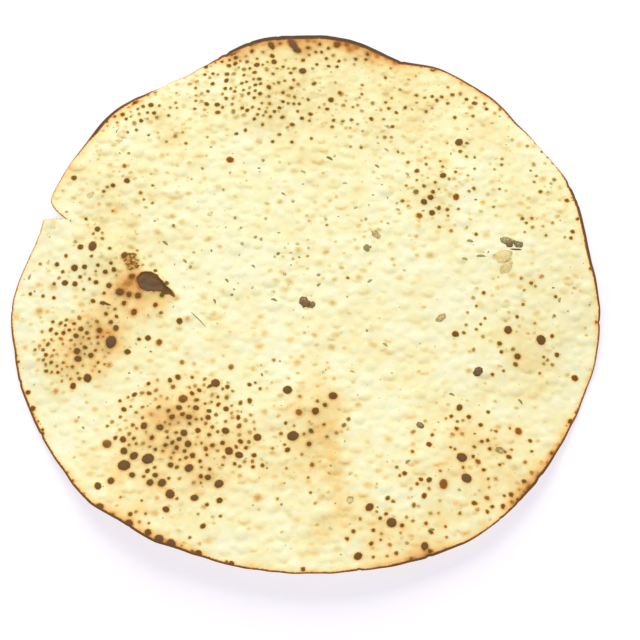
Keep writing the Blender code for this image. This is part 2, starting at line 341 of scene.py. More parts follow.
# small spots gather where the flame stayed: (across, down, spread across, spread down, how many, least
# and most width, share of their usual burn, how many faint ones)
flameMarks = {
    "top": (246, 84, 46, 28, 88, 2.9, 5.2, 1.0, 110),
    "top middle": (298, 104, 54, 34, 32, 2.7, 5.4, 0.98, 66),
    "under the top rim": (322, 54, 84, 11, 26, 2.8, 5.2, 1.0, 18),
    "top right": (376, 106, 50, 36, 34, 2.5, 4.8, 0.92, 96),
    "right": (438, 178, 32, 42, 28, 2.5, 4.8, 0.92, 120),
    "right rim": (478, 102, 40, 16, 12, 2.6, 5.2, 0.95, 18),
    "far right": (535, 190, 42, 52, 18, 2.5, 4.8, 0.88, 56),
    "upper left": (172, 110, 46, 30, 20, 2.4, 4.6, 0.92, 66),
    "upper left rim": (118, 112, 30, 12, 14, 2.8, 5.0, 1.0, 12),
    "left": (112, 192, 44, 48, 9, 2.4, 5.0, 0.9, 120),
    "crease": (96, 285, 54, 38, 22, 2.6, 5.2, 0.98, 90),
    "lower left": (72, 350, 30, 26, 60, 2.4, 4.6, 0.92, 110),
    "lower": (184, 430, 62, 44, 112, 2.7, 5.2, 0.98, 200),
    "low middle": (300, 432, 44, 66, 24, 2.4, 4.6, 0.9, 110),
    "middle": (300, 225, 110, 60, 4, 2.2, 4.0, 0.8, 110),
    "near rim": (150, 520, 60, 22, 12, 2.4, 5.0, 0.9, 18),
    "hidden, by the rim": (470, 462, 62, 42, 60, 2.6, 5.6, 1.0, 76),
    "hidden, right": (520, 330, 46, 46, 32, 2.6, 5.4, 0.95, 50),
    "hidden, low": (395, 528, 46, 26, 26, 2.6, 5.0, 0.95, 30),
}
spotDraw = {
    "seed": 19,
    "gap": 0.22,               # least dough between two spots
    "rimGap": 0.5,
    "stretch": (1.0, 1.18),    # length of a spot, as a share of its width: those listed above
    "longStretch": (1.0, 1.3),     # and those that are scattered
    "hiddenLarge": 22,         # large ones where the photo doesn't show the sheet
    "hiddenWidth": (4.5, 10.5),
    "hiddenStretch": (1.0, 1.25),
    "hiddenSpread": 0.7,       # of the mark that they lie in
    "hiddenBrown": (0.8, 0.7),     # redness from which one of them only browned, and how far
    "swell": 0.55,             # pixels that the burn reaches past the width that shows dark
    "burnLeast": 0.46,
    "burnRise": 0.42,          # for each millimetre of radius
    "burnSpread": 0.08,
    "halfBurnt": 0.42,         # share of the small ones that only browned, and how far those went
    "halfBurn": (0.46, 0.66),
    "rustFar": (0.0, 0.25),    # redness on the far half of the sheet, on the near half
    "rustNear": (0.20, 0.75),
    "rustLine": -12,           # millimetres, where the near half begins
    "rustTilt": 0.2,
    "rustLean": 2,
    "longRust": 0.4,
    "brownStretch": (1.0, 1.2),
    "brownRust": (0.5, 0.95),
    "tanRust": (0.2, 1.0),
    "knobStretch": (1.0, 1.4),
    "knobOverlap": 0.3,        # of its radius, into a spot that is there
    "markEdge": 1.25,          # where a flame mark ends, in its spreads
    "gather": 0.62,            # 0.5 strews them evenly over the mark, more draws them to its middle
    "widthLean": 1.2,
    "faintWidth": (2.8, 8.0),
    "faintLean": 1.6,          # past 1, most of them are narrow ones
    "faintSpread": 0.75,
    "faintStretch": (1.0, 1.5),
    "faintTurn": (-30, 30),
    "faintBurn": (0.24, 0.42),
    "faintDeeper": (0.32, 0.9),    # the narrow ones are deeper, for each millimetre under the second
    "paleBlisters": 90,        # toasted blisters anywhere
    "paleWidth": (4.0, 8.5),
    "paleBurn": (0.14, 0.34),
    "paleReach": 86.0,
    "paleSoftness": 0.6,       # half width in millimetres past which they fade out further
    "tries": 40,
}


def spotDepth(radius, draw):
    # how burnt a spot is: the larger, the blacker
    spread = draw.uniform(-spotDraw["burnSpread"], spotDraw["burnSpread"])
    return min(1.0, spotDraw["burnLeast"] + spotDraw["burnRise"] * radius + spread)


def spotRust(x, y, draw):
    # char is olive on the far half and redder on the near half
    far = y + spotDraw["rustTilt"] * x > spotDraw["rustLine"]
    least, most = spotDraw["rustFar"] if far else spotDraw["rustNear"]
    return least + (most - least) * draw.random() ** spotDraw["rustLean"]


# the burst blister by the crease, charred right through: its outline as it shows, (across, down)
burntPatch = {
    "outline": [(136, 277), (139.5, 272.5), (144, 270.7), (151.8, 272), (159.5, 275.8), (163.6, 282),
                (166.5, 286.5), (170, 288.5), (174, 292.4), (176.8, 298.5), (172, 297.4), (168, 295.8),
                (164, 294.2), (161, 291.8), (157, 291.8), (151, 292.3), (145.5, 292.6), (140, 290),
                (136.2, 284.5)],
    "tail": 4.2,               # millimetres back from its tip, browner than the rest
    "tailPaler": 0.2,
    "tailReach": 1.3,          # past 1, the tail is palest already short of its tip
    "margin": 0.4,             # width of its margin
    "lipHeight": 0.30,
    "lipWidth": 0.55,
    "hollow": 0.35,
    "hollowReach": 1.6,        # how far in the hollow has its full depth
    "ragged": (0.13, 0.5, 84), # depth, size and seed of its ragged outline
    "crisp": (0.10, 0.45, 83), # the same of the crisp grain on it
    "edgeBurn": 0.86,          # brown at its margin, and black a millimetre further in
    "rust": (0.6, 0.2, 0.9),   # at its margin, in its middle, in its tail
    "halfWidth": 2.4,
    "fineStep": 0.34,
    "fineReach": 0.7,          # how far past its outline the close weave goes
    "fineRoom": 1.5,
}
# a crisp brown scab of small burst bubbles beside it
scab = {
    "from": (126.8, 254.5),
    "to": (134, 269),
    "halfWidth": 2.6,
    "slant": 0.4,
    "bubbles": 170,
    "width": (1.6, 3.8),
    "stretch": (1.0, 1.4),
    "burn": (0.52, 0.80),
    "rust": (0.0, 0.3),
    "closeness": -0.35,        # how far two bubbles may run into each other
}


class SpotList:
    # spots as rows of x, y, half length, half width, turn, burn, and rust from olive 0 to red 1
    def __init__(self):
        self.rows = []

    def add(self, x, y, length, width, turn, burn, rust):
        self.rows.append((x, y, length, width, math.radians(turn), burn, rust))

    def free(self, x, y, radius, gap):
        if not self.rows:
            return True
        taken = np.array(self.rows)
        away = np.hypot(taken[:, 0] - x, taken[:, 1] - y)
        return bool(np.all(away > taken[:, 2] + radius + gap))


def photoSpots(draw):
    # the spots that stand where the photo shows them
    dark, pale = SpotList(), SpotList()
    for group in blackSpots.values():
        for across, down, width in group:
            x, y = onSheet(across, down)
            radius = (width + spotDraw["swell"]) * pixelSize / 2
            length, turn = radius * draw.uniform(*spotDraw["stretch"]), draw.uniform(0, 180)
            dark.add(x, y, length, radius, turn, spotDepth(radius, draw), spotRust(x, y, draw))
    for across, down, length, width, turn in longSpots:
        x, y = onSheet(across, down)
        dark.add(x, y, length * pixelSize / 2, width * pixelSize / 2, turn, 1.0, spotDraw["longRust"])
    for across, down, width, burn in brownSpots:
        x, y = onSheet(across, down)
        radius = width * pixelSize / 2
        length, turn = radius * draw.uniform(*spotDraw["brownStretch"]), draw.uniform(0, 180)
        dark.add(x, y, length, radius, turn, burn, draw.uniform(*spotDraw["brownRust"]))
    for across, down, width, burn in oliveSpots:
        x, y = onSheet(across, down)
        radius = (width + spotDraw["swell"]) * pixelSize / 2
        dark.add(x, y, radius, radius, 0, burn, spotRust(x, y, draw))
    for across, down, width, burn in tanSpots:
        x, y = onSheet(across, down)
        radius = width * pixelSize / 2
        pale.add(x, y, radius, radius, 0, burn, draw.uniform(*spotDraw["tanRust"]))
    return dark, pale


def scabBubbles(dark, draw):
    # burst bubbles crowd along the scab
    (startX, startY), (endX, endY) = scab["from"], scab["to"]
    for _ in range(scab["bubbles"]):
        along, aside = draw.random(), draw.normal() * scab["halfWidth"]
        across = startX + (endX - startX) * along + aside
        down = startY + (endY - startY) * along - aside * scab["slant"]
        x, y = onSheet(across, down)
        radius = draw.uniform(*scab["width"]) * pixelSize / 2
        if dark.free(x, y, radius, scab["closeness"]):
            burn, length = draw.uniform(*scab["burn"]), radius * draw.uniform(*scab["stretch"])
            dark.add(x, y, length, radius, draw.uniform(0, 180), burn, draw.uniform(*scab["rust"]))


def hiddenSpots(dark, draw):
    # large ones where the photo doesn't show the sheet
    marks = [mark for name, mark in flameMarks.items() if name.startswith("hidden")]
    redFrom, brownBurn = spotDraw["hiddenBrown"]
    for number in range(spotDraw["hiddenLarge"]):
        across, down, *spread = marks[number % len(marks)][:4]
        spreadX, spreadY = (reach * spotDraw["hiddenSpread"] for reach in spread)
        for _ in range(spotDraw["tries"]):
            x, y = onSheet(across + draw.normal() * spreadX, down + draw.normal() * spreadY)
            radius = draw.uniform(*spotDraw["hiddenWidth"]) * pixelSize / 2
            if insideRim(x, y) > radius and dark.free(x, y, radius, spotDraw["gap"]):
                rust = draw.random()
                burn = spotDepth(radius, draw) if rust < redFrom else brownBurn
                length = radius * draw.uniform(*spotDraw["hiddenStretch"])
                dark.add(x, y, length, radius, draw.uniform(0, 180), burn, rust)
                break


def faintSpots(pale, mark, draw):
    # the faint toasted ones in a flame mark
    across, down, *spread = mark[:4]
    spreadX, spreadY = (reach * spotDraw["faintSpread"] for reach in spread)
    narrow, wide = spotDraw["faintWidth"]
    deeper, narrowest = spotDraw["faintDeeper"]
    for _ in range(mark[-1]):
        x, y = onSheet(across + draw.normal() * spreadX, down + draw.normal() * spreadY)
        radius = (narrow + (wide - narrow) * draw.random() ** spotDraw["faintLean"]) * pixelSize / 2
        if insideRim(x, y) > radius and pale.free(x, y, radius, spotDraw["gap"]):
            burn = draw.uniform(*spotDraw["faintBurn"]) + deeper * max(0, narrowest - radius)
            turn = draw.uniform(*spotDraw["faintTurn"])
            length = radius * draw.uniform(*spotDraw["faintStretch"])
            pale.add(x, y, length, radius, turn, burn, spotRust(x, y, draw))


def flameSpots(dark, mark, draw):
    # the small burnt ones in a flame mark
    across, down, spreadX, spreadY, count, least, most, heat, _ = mark
    for _ in range(count):
        width = least + (most - least) * draw.random() ** spotDraw["widthLean"]
        radius = (width + spotDraw["swell"]) * pixelSize / 2
        for _ in range(spotDraw["tries"]):
            away = draw.random() ** spotDraw["gather"] * spotDraw["markEdge"]
            around = draw.uniform(0, 2 * math.pi)
            aside, below = spreadX * away * math.cos(around), spreadY * away * math.sin(around)
            x, y = onSheet(across + aside, down + below)
            if insideRim(x, y) > radius + spotDraw["rimGap"] and dark.free(x, y, radius, spotDraw["gap"]):
                burn = spotDepth(radius, draw) * heat
                if draw.random() < spotDraw["halfBurnt"]:
                    burn = draw.uniform(*spotDraw["halfBurn"])
                turn, length = draw.uniform(0, 180), radius * draw.uniform(*spotDraw["longStretch"])
                dark.add(x, y, length, radius, turn, burn, spotRust(x, y, draw))
                break


def knobsByRim(dark, draw):
    # char that beads along the rim
    for first, last, count, least, most, depth in rimKnobs:
        for _ in range(count):
            angle, radius = draw.uniform(first, last), draw.uniform(least, most)
            reach = np.interp(angle % 360.0, rimAngle, rimReach) - abs(draw.normal()) * depth
            x, y = polar(angle, reach)
            if dark.free(x, y, radius, -spotDraw["knobOverlap"] * radius):
                length = radius * draw.uniform(*spotDraw["knobStretch"])
                dark.add(x, y, length, radius, angle + 90, spotDepth(radius, draw), draw.random())


def toastedBlisters(pale, draw):
    # wide pale ones anywhere on the sheet
    for _ in range(spotDraw["paleBlisters"]):
        x, y = polar(draw.uniform(0, 360), spotDraw["paleReach"] * math.sqrt(draw.random()))
        radius = draw.uniform(*spotDraw["paleWidth"]) * pixelSize / 2
        if insideRim(x, y) > radius and pale.free(x, y, radius, spotDraw["gap"]):
            pale.add(x, y, radius, radius, 0, draw.uniform(*spotDraw["paleBurn"]), spotRust(x, y, draw))


spotSeed = np.random.default_rng(spotDraw["seed"])
darkSpots, paleSpots = photoSpots(spotSeed)
scabBubbles(darkSpots, spotSeed)
hiddenSpots(darkSpots, spotSeed)
for flameMark in flameMarks.values():
    faintSpots(paleSpots, flameMark, spotSeed)
    flameSpots(darkSpots, flameMark, spotSeed)
knobsByRim(darkSpots, spotSeed)
toastedBlisters(paleSpots, spotSeed)
print(f"{len(darkSpots.rows)} char spots and {len(paleSpots.rows)} toasted blisters placed")

# the face underneath is finished alike, with less char: (x, y, spread, how many)
underMarks = {
    "seed": 57,
    "places": [(-48, 30, 26, 110), (30, 52, 22, 90), (52, -18, 24, 100), (-8, -46, 26, 110),
               (-62, -30, 16, 50), (5, 8, 40, 60)],
    "spread": 0.6,             # of the spread given
    "width": (0.6, 2.6),       # millimetres
    "widthLean": 3,
    "stretch": (1.0, 1.3),
    "brown": (0.6, 0.5, 0.7),  # redness from which one only browned, and how far it went
    "paleCount": 90,
    "paleReach": 84.0,
    "paleRadius": (0.6, 1.3),
    "paleBurn": (0.25, 0.45),
}


def spotsUnderneath():
    draw = np.random.default_rng(underMarks["seed"])
    dark, pale = SpotList(), SpotList()
    least, most = underMarks["width"]
    redFrom, leastBrown, mostBrown = underMarks["brown"]
    for centreX, centreY, reach, count in underMarks["places"]:
        spread = reach * underMarks["spread"]
        for _ in range(count):
            radius = (least + (most - least) * draw.random() ** underMarks["widthLean"]) / 2
            x, y = centreX + draw.normal() * spread, centreY + draw.normal() * spread
            if insideRim(x, y) > radius + spotDraw["rimGap"] and dark.free(x, y, radius, spotDraw["gap"]):
                rust = draw.random()
                burn = spotDepth(radius, draw) if rust < redFrom else draw.uniform(leastBrown, mostBrown)
                length = radius * draw.uniform(*underMarks["stretch"])
                dark.add(x, y, length, radius, draw.uniform(0, 180), burn, rust)
    for _ in range(underMarks["paleCount"]):
        x, y = polar(draw.uniform(0, 360), underMarks["paleReach"] * math.sqrt(draw.random()))
        radius = draw.uniform(*underMarks["paleRadius"])
        if pale.free(x, y, radius, spotDraw["gap"]):
            pale.add(x, y, radius, radius, 0, draw.uniform(*underMarks["paleBurn"]), draw.random())
    return dark, pale


darkUnder, paleUnder = spotsUnderneath()


patchCorners = np.array([onSheet(across, down) for across, down in burntPatch["outline"]])


def roundedOutline(corners, cut=0.25, times=2):
    # cuts off every corner, and then the corners that this leaves
    for _ in range(times):
        after = np.roll(corners, -1, axis=0)
        starts, ends = corners * (1 - cut) + after * cut, corners * cut + after * (1 - cut)
        corners = np.stack([starts, ends], axis=1).reshape(-1, 2)
    return corners


def patchDistance(x, y):
    # distance inside the burnt patch, negative outside it
    corners = roundedOutline(patchCorners)
    nearest, inside = np.full(x.shape, np.inf), np.zeros(x.shape, bool)
    for (ax, ay), (bx, by) in zip(corners, np.roll(corners, -1, axis=0)):
        dx, dy = bx - ax, by - ay
        share = np.clip(((x - ax) * dx + (y - ay) * dy) / (dx * dx + dy * dy), 0, 1)
        nearest = np.minimum(nearest, np.hypot(x - ax - share * dx, y - ay - share * dy))
        inside ^= ((ay > y) != (by > y)) & (x < ax + (y - ay) * dx / (dy + 1e-12))
    return np.where(inside, nearest, -nearest)


# fine relief of the two faces, which is too small for the solid
blisters = {
    "widths": ((2.2, 260), (1.8, 900), (1.45, 2200), (1.1, 4200)),   # radius, how many are tried
    "widthSpread": (0.85, 1.15),
    "reach": 91.0,
    "overlap": 0.84,           # of two radii
    "spotRoom": (1.2, 0.8),    # room of a char spot: times its own half length, and at least
    "height": 0.22,            # of a blister, as a share of its radius
    "heightSpread": (0.35, 1.25),
    "stretch": (1.0, 1.4),
    "turn": 0.4,               # radians, most lie across the photo
    "shadedFeet": 0.8,            # share of the blisters with painted shade, a tan crescent, at the foot of their near side, the side turned from the light
    "footShadeHeat": (0.04, 0.30),
    "footShadeLean": 2.5,          # past 1, most are faint
    "footReach": (0.86, 0.22), # where that foot lies and how wide it is, as shares of the radius
    "footRoom": 1.5,
    "footEnds": 1.5,           # how the foot narrows toward its two ends
    "charSwell": (1.35, 0.25), # half width of the swelling under char: times the spot's own, and added
    "charHeight": (0.10, 0.11),    # its height: least, and for each millimetre of its half width
    "seed": 23,
    "underSeed": 61,
    "grain": 0.012,
    "grainSize": 0.35,
    "wrinkle": 0.05,
    "wrinkleSize": 1.1,
}


def stamp(field, x, y, length, width, turn, height, profile):
    # adds one mound to a map, only over the cells that it covers
    reach = max(length, width)
    columns = slice(*np.searchsorted(gridLine, (x - reach, x + reach)))
    rows = slice(*np.searchsorted(gridLine, (y - reach, y + reach)))
    dx, dy = gridX[rows, columns] - x, gridY[rows, columns] - y
    along = dx * math.cos(turn) + dy * math.sin(turn)
    across = dy * math.cos(turn) - dx * math.sin(turn)
    away = np.clip((along / length) ** 2 + (across / width) ** 2, 0, 1)
    field[rows, columns] += height * profile(away)


def mound(away):
    return (1 - away) ** 2


def blister(away):
    # flat on top and steep at its foot
    return (1 - away ** 2) ** 2


def disc(away):
    return (away < 1) * 1.0


def shadeBlisterFoot(field, x, y, length, width, heat):
    # painted shade: a tan crescent along the near foot of a blister, on the side turned from the light
    reachX, reachY = length * blisters["footRoom"], width * blisters["footRoom"]
    columns = slice(*np.searchsorted(gridLine, (x - reachX, x + reachX)))
    rows = slice(*np.searchsorted(gridLine, (y - reachY, y + reachY)))
    dx, dy = (gridX[rows, columns] - x) / length, (gridY[rows, columns] - y) / width
    away = np.hypot(dx, dy) + 1e-6
    foot, spread = blisters["footReach"]
    crescent = np.clip(-dy / away, 0, 1) ** blisters["footEnds"]
    field[rows, columns] += heat * np.exp(-((away - foot) / spread) ** 2) * crescent


def blisterField(seed, spots):
    draw = np.random.default_rng(seed)
    roomShare, leastRoom = blisters["spotRoom"]
    placed = np.array([(row[0], row[1], max(row[2] * roomShare, leastRoom)) for row in spots.rows])
    field, shadedFeet = np.zeros(gridX.shape), np.zeros(gridX.shape)
    faintest, strongest = blisters["footShadeHeat"]
    for radius, tries in blisters["widths"]:
        for _ in range(tries):
            size = radius * draw.uniform(*blisters["widthSpread"])
            x, y = polar(draw.uniform(0, 360), blisters["reach"] * math.sqrt(draw.random()))
            away = np.hypot(placed[:, 0] - x, placed[:, 1] - y)
            if np.any(away < blisters["overlap"] * (placed[:, 2] + size)):
                continue
            placed = np.vstack([placed, (x, y, size)])
            height = size * blisters["height"] * draw.uniform(*blisters["heightSpread"])
            length = size * draw.uniform(*blisters["stretch"])
            stamp(field, x, y, length, size, draw.normal() * blisters["turn"], height, blister)
            # most blisters get painted shade, a tan crescent, on their near foot
            if draw.random() < blisters["shadedFeet"]:
                heat = faintest + (strongest - faintest) * draw.random() ** blisters["footShadeLean"]
                shadeBlisterFoot(shadedFeet, x, y, length, size, heat)
    swell, added = blisters["charSwell"]
    least, rise = blisters["charHeight"]
    for x, y, length, width, turn, burn, _ in spots.rows:
        size = max(length, width) * swell + added
        stamp(field, x, y, size, size, turn, least + rise * size * burn, mound)
    field += blisters["wrinkle"] * unevenness(seed + 1, blisters["wrinkleSize"])
    field += blisters["grain"] * unevenness(seed + 2, blisters["grainSize"])
    return field - np.median(field), shadedFeet


def patchRelief(edge):
    # a raised lip, a hollow inside it, and a crisp grain
    lip = np.exp(-((edge / burntPatch["lipWidth"]) ** 2)) * burntPatch["lipHeight"]
    hollow = np.clip(edge / burntPatch["hollowReach"], 0, 1) * burntPatch["hollow"]
    depth, size, seed = burntPatch["crisp"]
    return lip - hollow + depth * unevenness(seed, size) * np.clip(edge + burntPatch["margin"], 0, 1)


upperRelief, upperFootShade = blisterField(blisters["seed"], darkSpots)
lowerRelief, lowerFootShade = blisterField(blisters["underSeed"], darkUnder)
raggedDepth, raggedSize, raggedSeed = burntPatch["ragged"]
patchEdge = patchDistance(gridX, gridY) + raggedDepth * unevenness(raggedSeed, raggedSize)
upperRelief += patchRelief(patchEdge)
print("relief of both faces laid out")

# how scorched the rim is: (angle, black line, its darkness, width and strength of the toasted band)
rimScorch = [
    (10, 0.95, 0.93, 1.6, 0.26), (22, 0.90, 0.92, 1.4, 0.20), (29, 0.30, 0.60, 0.8, 0.05),
    (34, 0.20, 0.53, 0.8, 0.05), (41, 0.59, 0.85, 1.0, 0.16), (50, 0.72, 0.87, 1.4, 0.26),
    (60, 0.65, 0.89, 1.6, 0.28), (70, 1.20, 0.95, 3.4, 0.40), (80, 1.45, 0.98, 4.6, 0.42),
    (98, 1.45, 0.98, 4.6, 0.42), (106, 1.20, 0.95, 3.0, 0.36), (112, 0.39, 0.63, 1.2, 0.12),
    (123, 0.23, 0.47, 1.0, 0.08), (127, 0.80, 0.91, 1.4, 0.24), (134, 0.95, 0.93, 1.6, 0.28),
    (140, 1.20, 0.95, 1.8, 0.28), (143, 0.60, 0.78, 1.8, 0.28), (148, 0.33, 0.63, 1.6, 0.20),
    (156, 0.33, 0.63, 1.4, 0.16), (166, 0.29, 0.59, 1.0, 0.12), (181, 0.40, 0.74, 0.9, 0.12),
    (194, 0.60, 0.86, 1.6, 0.28), (206, 0.60, 0.87, 1.6, 0.24), (214, 0.50, 0.84, 1.2, 0.14),
    (223, 0.60, 0.88, 1.6, 0.30), (234, 0.65, 0.91, 2.0, 0.38), (246, 0.65, 0.91, 2.2, 0.38),
    (257, 0.36, 0.83, 1.4, 0.24), (268, 0.31, 0.77, 1.2, 0.20), (280, 0.34, 0.79, 1.4, 0.22),
    (294, 0.72, 0.93, 2.4, 0.38), (306, 0.36, 0.75, 1.4, 0.20), (318, 0.78, 0.95, 2.6, 0.42),
    (330, 0.52, 0.87, 1.8, 0.30), (344, 0.34, 0.73, 1.2, 0.16), (356, 0.59, 0.85, 1.6, 0.28),
]


def scorchAt(angle):
    table = np.array(rimScorch)
    wrapped = np.vstack([table[-1] - (360, 0, 0, 0, 0), table, table[0] + (360, 0, 0, 0, 0)])
    return [np.interp(angle % 360.0, wrapped[:, 0], wrapped[:, column]) for column in range(1, 5)]


# how toasted the dough is: warm areas, and a few paler ones (across, down, radius in mm, strength). The warm
# areas across 318 to 338 are painted shade, in the hollow beside a folded sheet that lay on this one
warmAndShadedAreas = [
    (88, 337, 8, 0.34), (112, 342, 6, 0.18), (75, 352, 8, 0.09), (50, 350, 7, 0.06), (84, 362, 5, 0.10),
    (137, 295, 8, 0.32), (118, 290, 6, 0.12), (158, 302, 5, 0.26), (118, 275, 6, 0.16),
    (118, 305, 5, 0.10), (128.5, 258, 2.2, 0.46), (132, 264.5, 2.0, 0.46), (137.5, 268.5, 1.8, 0.30),
    (131, 282, 3.2, 1.30), (132, 288, 3.4, 0.45), (166, 422, 10, 0.26), (154, 418, 5, 0.20),
    (150, 452, 8, 0.08), (165, 482, 10, 0.05), (180, 455, 18, 0.06), (118, 482, 6, 0.14),
    # painted shade: the areas across 318 to 338, down 400 to 530, on this line and the two below, darken the
    # dough where a folded sheet beside it shaded a hollow
    (242, 425, 8, 0.05), (205, 465, 7, 0.05), (225, 470, 14, 0.04), (324, 402, 8, 0.24),
    (318, 470, 11, 0.22), (290, 430, 10, 0.02), (200, 445, 9, 0.05), (324, 530, 8, 0.14),
    (324, 440, 6, 0.16), (336, 420, 4, 0.08), (336, 490, 4, 0.10), (338, 520, 4, 0.08),
    (180, 505, 9, 0.05), (140, 500, 8, 0.03), (155, 398, 6, 0.07), (152, 297, 3.2, 0.22),
    (143, 297, 2.0, 0.25), (162, 296, 2.0, 0.18), (280, 400, 6, -0.04), (290, 60, 16, 0.06),
    (375, 64, 12, 0.15), (235, 64, 8, -0.05), (290, 100, 26, 0.04), (420, 110, 16, 0.04),
    (215, 92, 9, 0.06), (185, 115, 16, 0.04), (122, 120, 7, -0.06), (400, 90, 18, 0.04),
    (470, 104, 10, 0.05), (510, 150, 8, 0.03), (438, 150, 6, 0.07), (322, 150, 5, 0.06),
    (360, 182, 8, -0.04), (440, 212, 7, -0.05), (100, 190, 16, 0.08), (100, 212, 9, 0.08),
    (205, 180, 8, 0.04), (84, 208, 6, 0.05), (80, 240, 6, 0.08), (240, 400, 10, 0.01),
    (80, 300, 7, -0.06), (80, 328, 4, -0.04), (80, 420, 9, -0.07), (150, 390, 9, -0.05),
    (52, 380, 7, 0.07), (160, 358, 6, 0.06), (160, 300, 5, 0.08), (52, 314, 7, -0.07),
    (45, 292, 6, -0.03), (230, 325, 12, -0.03), (82, 275, 6, -0.02), (470, 465, 16, 0.14),
    (530, 335, 12, 0.10), (400, 540, 14, 0.08), (560, 250, 10, 0.04), (110, 515, 8, 0.06),
]
toasting = {
    "plain": 0.04,
    "spotMargin": 0.3,
    "spotGlow": ((1.6, 0.05), (6.0, 0.18)),    # blur and strength of the warmth round char
    "most": 0.50,              # warmth that the dough between spots never passes
    "uneven": ((5.0, 0.030), (2.2, 0.024), (0.9, 0.022)),    # size and strength of what is left to chance
    "seed": 71,
    "underSeed": 76,
    "rimFade": 1.5,            # how steeply the toasted band along the rim fades inward
}


def toastMap(spots, seed, areas):
    cover = np.zeros(gridX.shape)
    margin = toasting["spotMargin"]
    for x, y, length, width, turn, burn, _ in spots.rows:
        stamp(cover, x, y, length + margin, width + margin, turn, burn, disc)
    toastAndShade = np.full(gridX.shape, toasting["plain"])
    for size, strength in toasting["spotGlow"]:
        toastAndShade += strength * blurred(cover, size)
    for across, down, radius, strength in areas:
        x, y = onSheet(across, down)
        toastAndShade += strength * np.exp(-((gridX - x) ** 2 + (gridY - y) ** 2) / radius ** 2)
    toastAndShade = toasting["most"] * (1 - np.exp(-toastAndShade / toasting["most"]))
    for number, (size, strength) in enumerate(toasting["uneven"]):
        toastAndShade += strength * unevenness(seed + number, size)
    return toastAndShade


# the toasting of each face, with the painted shade at the blisters' near feet added on top
upperToastAndShade = toastMap(darkSpots, toasting["seed"], warmAndShadedAreas) + upperFootShade
lowerToastAndShade = toastMap(darkUnder, toasting["underSeed"], []) + lowerFootShade
print("toasting laid out")

# the sheet's mesh: rings along the rim, rings round every spot, an even spread between them
weave = {
    "step": 0.66,
    "stepUnder": 1.75,
    "jitter": 0.16,
    "rimRings": (0.0, 0.32, 0.68, 1.1, 1.6, 2.2),
    "fullRings": 2,            # as many of them have every point of the outline, the others every other one
    # rings round a spot: (share of its size, millimetres past that, how many points)
    "smallSpot": 0.9,
    "smallRings": ((0.0, 0.0, 1), (1.0, 0.28, 8)),
    "largeRings": ((0.0, 0.0, 1), (0.9, 0.0, 10), (1.0, 0.3, 12)),
    "clearance": 0.33,         # no other point this near to a ring point
    "ownCell": 0.12,           # no two ring points nearer than this
    "seed": 3,
    "roundness": 0.16,         # how far the edge is drawn in at its two corners
    "sameSpot": 1e-6,
    "nearRim": 9.0,            # points nearer than this get their true distance to the edge
    "atOnce": 2000,
}


def ringAround(spot):
    # points in the middle of a spot, at its edge and just outside it
    x, y, length, width, turn = spot[:5]
    circles = weave["smallRings"] if length < weave["smallSpot"] else weave["largeRings"]
    for number, (share, grow, count) in enumerate(circles):
        for step in range(count):
            angle = 2 * math.pi * (step + 0.5 * number) / count
            along = (length * share + grow) * math.cos(angle)
            across = (width * share + grow) * math.sin(angle)
            yield (x + along * math.cos(turn) - across * math.sin(turn),
                   y + along * math.sin(turn) + across * math.cos(turn))


def patchPoints():
    # a close weave over the burnt patch
    room, step = burntPatch["fineRoom"], burntPatch["fineStep"]
    (left, bottom), (right, top) = patchCorners.min(axis=0) - room, patchCorners.max(axis=0) + room
    x, y = np.meshgrid(np.arange(left, right, step), np.arange(bottom, top, step))
    close = readAt(patchEdge, x, y) > -burntPatch["fineReach"]
    return list(zip(x[close], y[close]))


def ringPoints(spots, extra):
    # the rings, without any two points in the same place
    points = []
    for number, inset in enumerate(weave["rimRings"]):
        ring = np.column_stack(polar(rimAngle, rimReach - inset - weave["roundness"]))
        points += map(tuple, ring if number < weave["fullRings"] else ring[number % 2::2])
    cell, lastRing = weave["ownCell"], weave["rimRings"][-1]
    around = [(i, j) for i in (-1, 0, 1) for j in (-1, 0, 1)]
    taken = {(round(x / cell), round(y / cell)) for x, y in points}
    for ring in [extra] + [ringAround(spot) for spot in spots]:
        for x, y in ring:
            column, row = round(x / cell), round(y / cell)
            near = any((column + i, row + j) in taken for i, j in around)
            if not near and insideRim(x, y) > lastRing + weave["clearance"]:
                taken.add((column, row))
                points.append((x, y))
    return np.array(points)


def cellOf(x, y):
    # row and column of the nearest cell of the maps
    row, column = ((np.asarray(value) + grid["reach"]) / grid["step"] for value in (y, x))
    return np.rint(row).astype(int), np.rint(column).astype(int)


def evenSpread(step, seed, rings):
    # a slightly uneven weave of triangles wherever no ring point is near
    covered = np.zeros(gridX.shape, bool)
    rows, columns = cellOf(rings[:, 0], rings[:, 1])
    for i in (-1, 0, 1):
        for j in (-1, 0, 1):
            covered[rows + i, columns + j] = True
    draw = np.random.default_rng(seed)
    rise = step * math.sqrt(3) / 2
    row, column = np.mgrid[0:int(2 * grid["reach"] / rise), 0:int(2 * grid["reach"] / step)]
    jitterX, jitterY = (draw.uniform(-1, 1, row.shape) * weave["jitter"] * step for _ in range(2))
    x = ((column + 0.5 * (row % 2)) * step - grid["reach"] + jitterX).ravel()
    y = (row * rise - grid["reach"] + jitterY).ravel()
    keep = insideRim(x, y) > weave["rimRings"][-1] + weave["roundness"] + step * 0.5
    x, y = x[keep], y[keep]
    keep = ~covered[cellOf(x, y)]
    return np.column_stack([x[keep], y[keep]])


def facePoints(spots, step, seed, extra=()):
    # every point of one face, those of the outline first
    rings = ringPoints(spots, extra)
    return np.vstack([rings, evenSpread(step, seed, rings)])


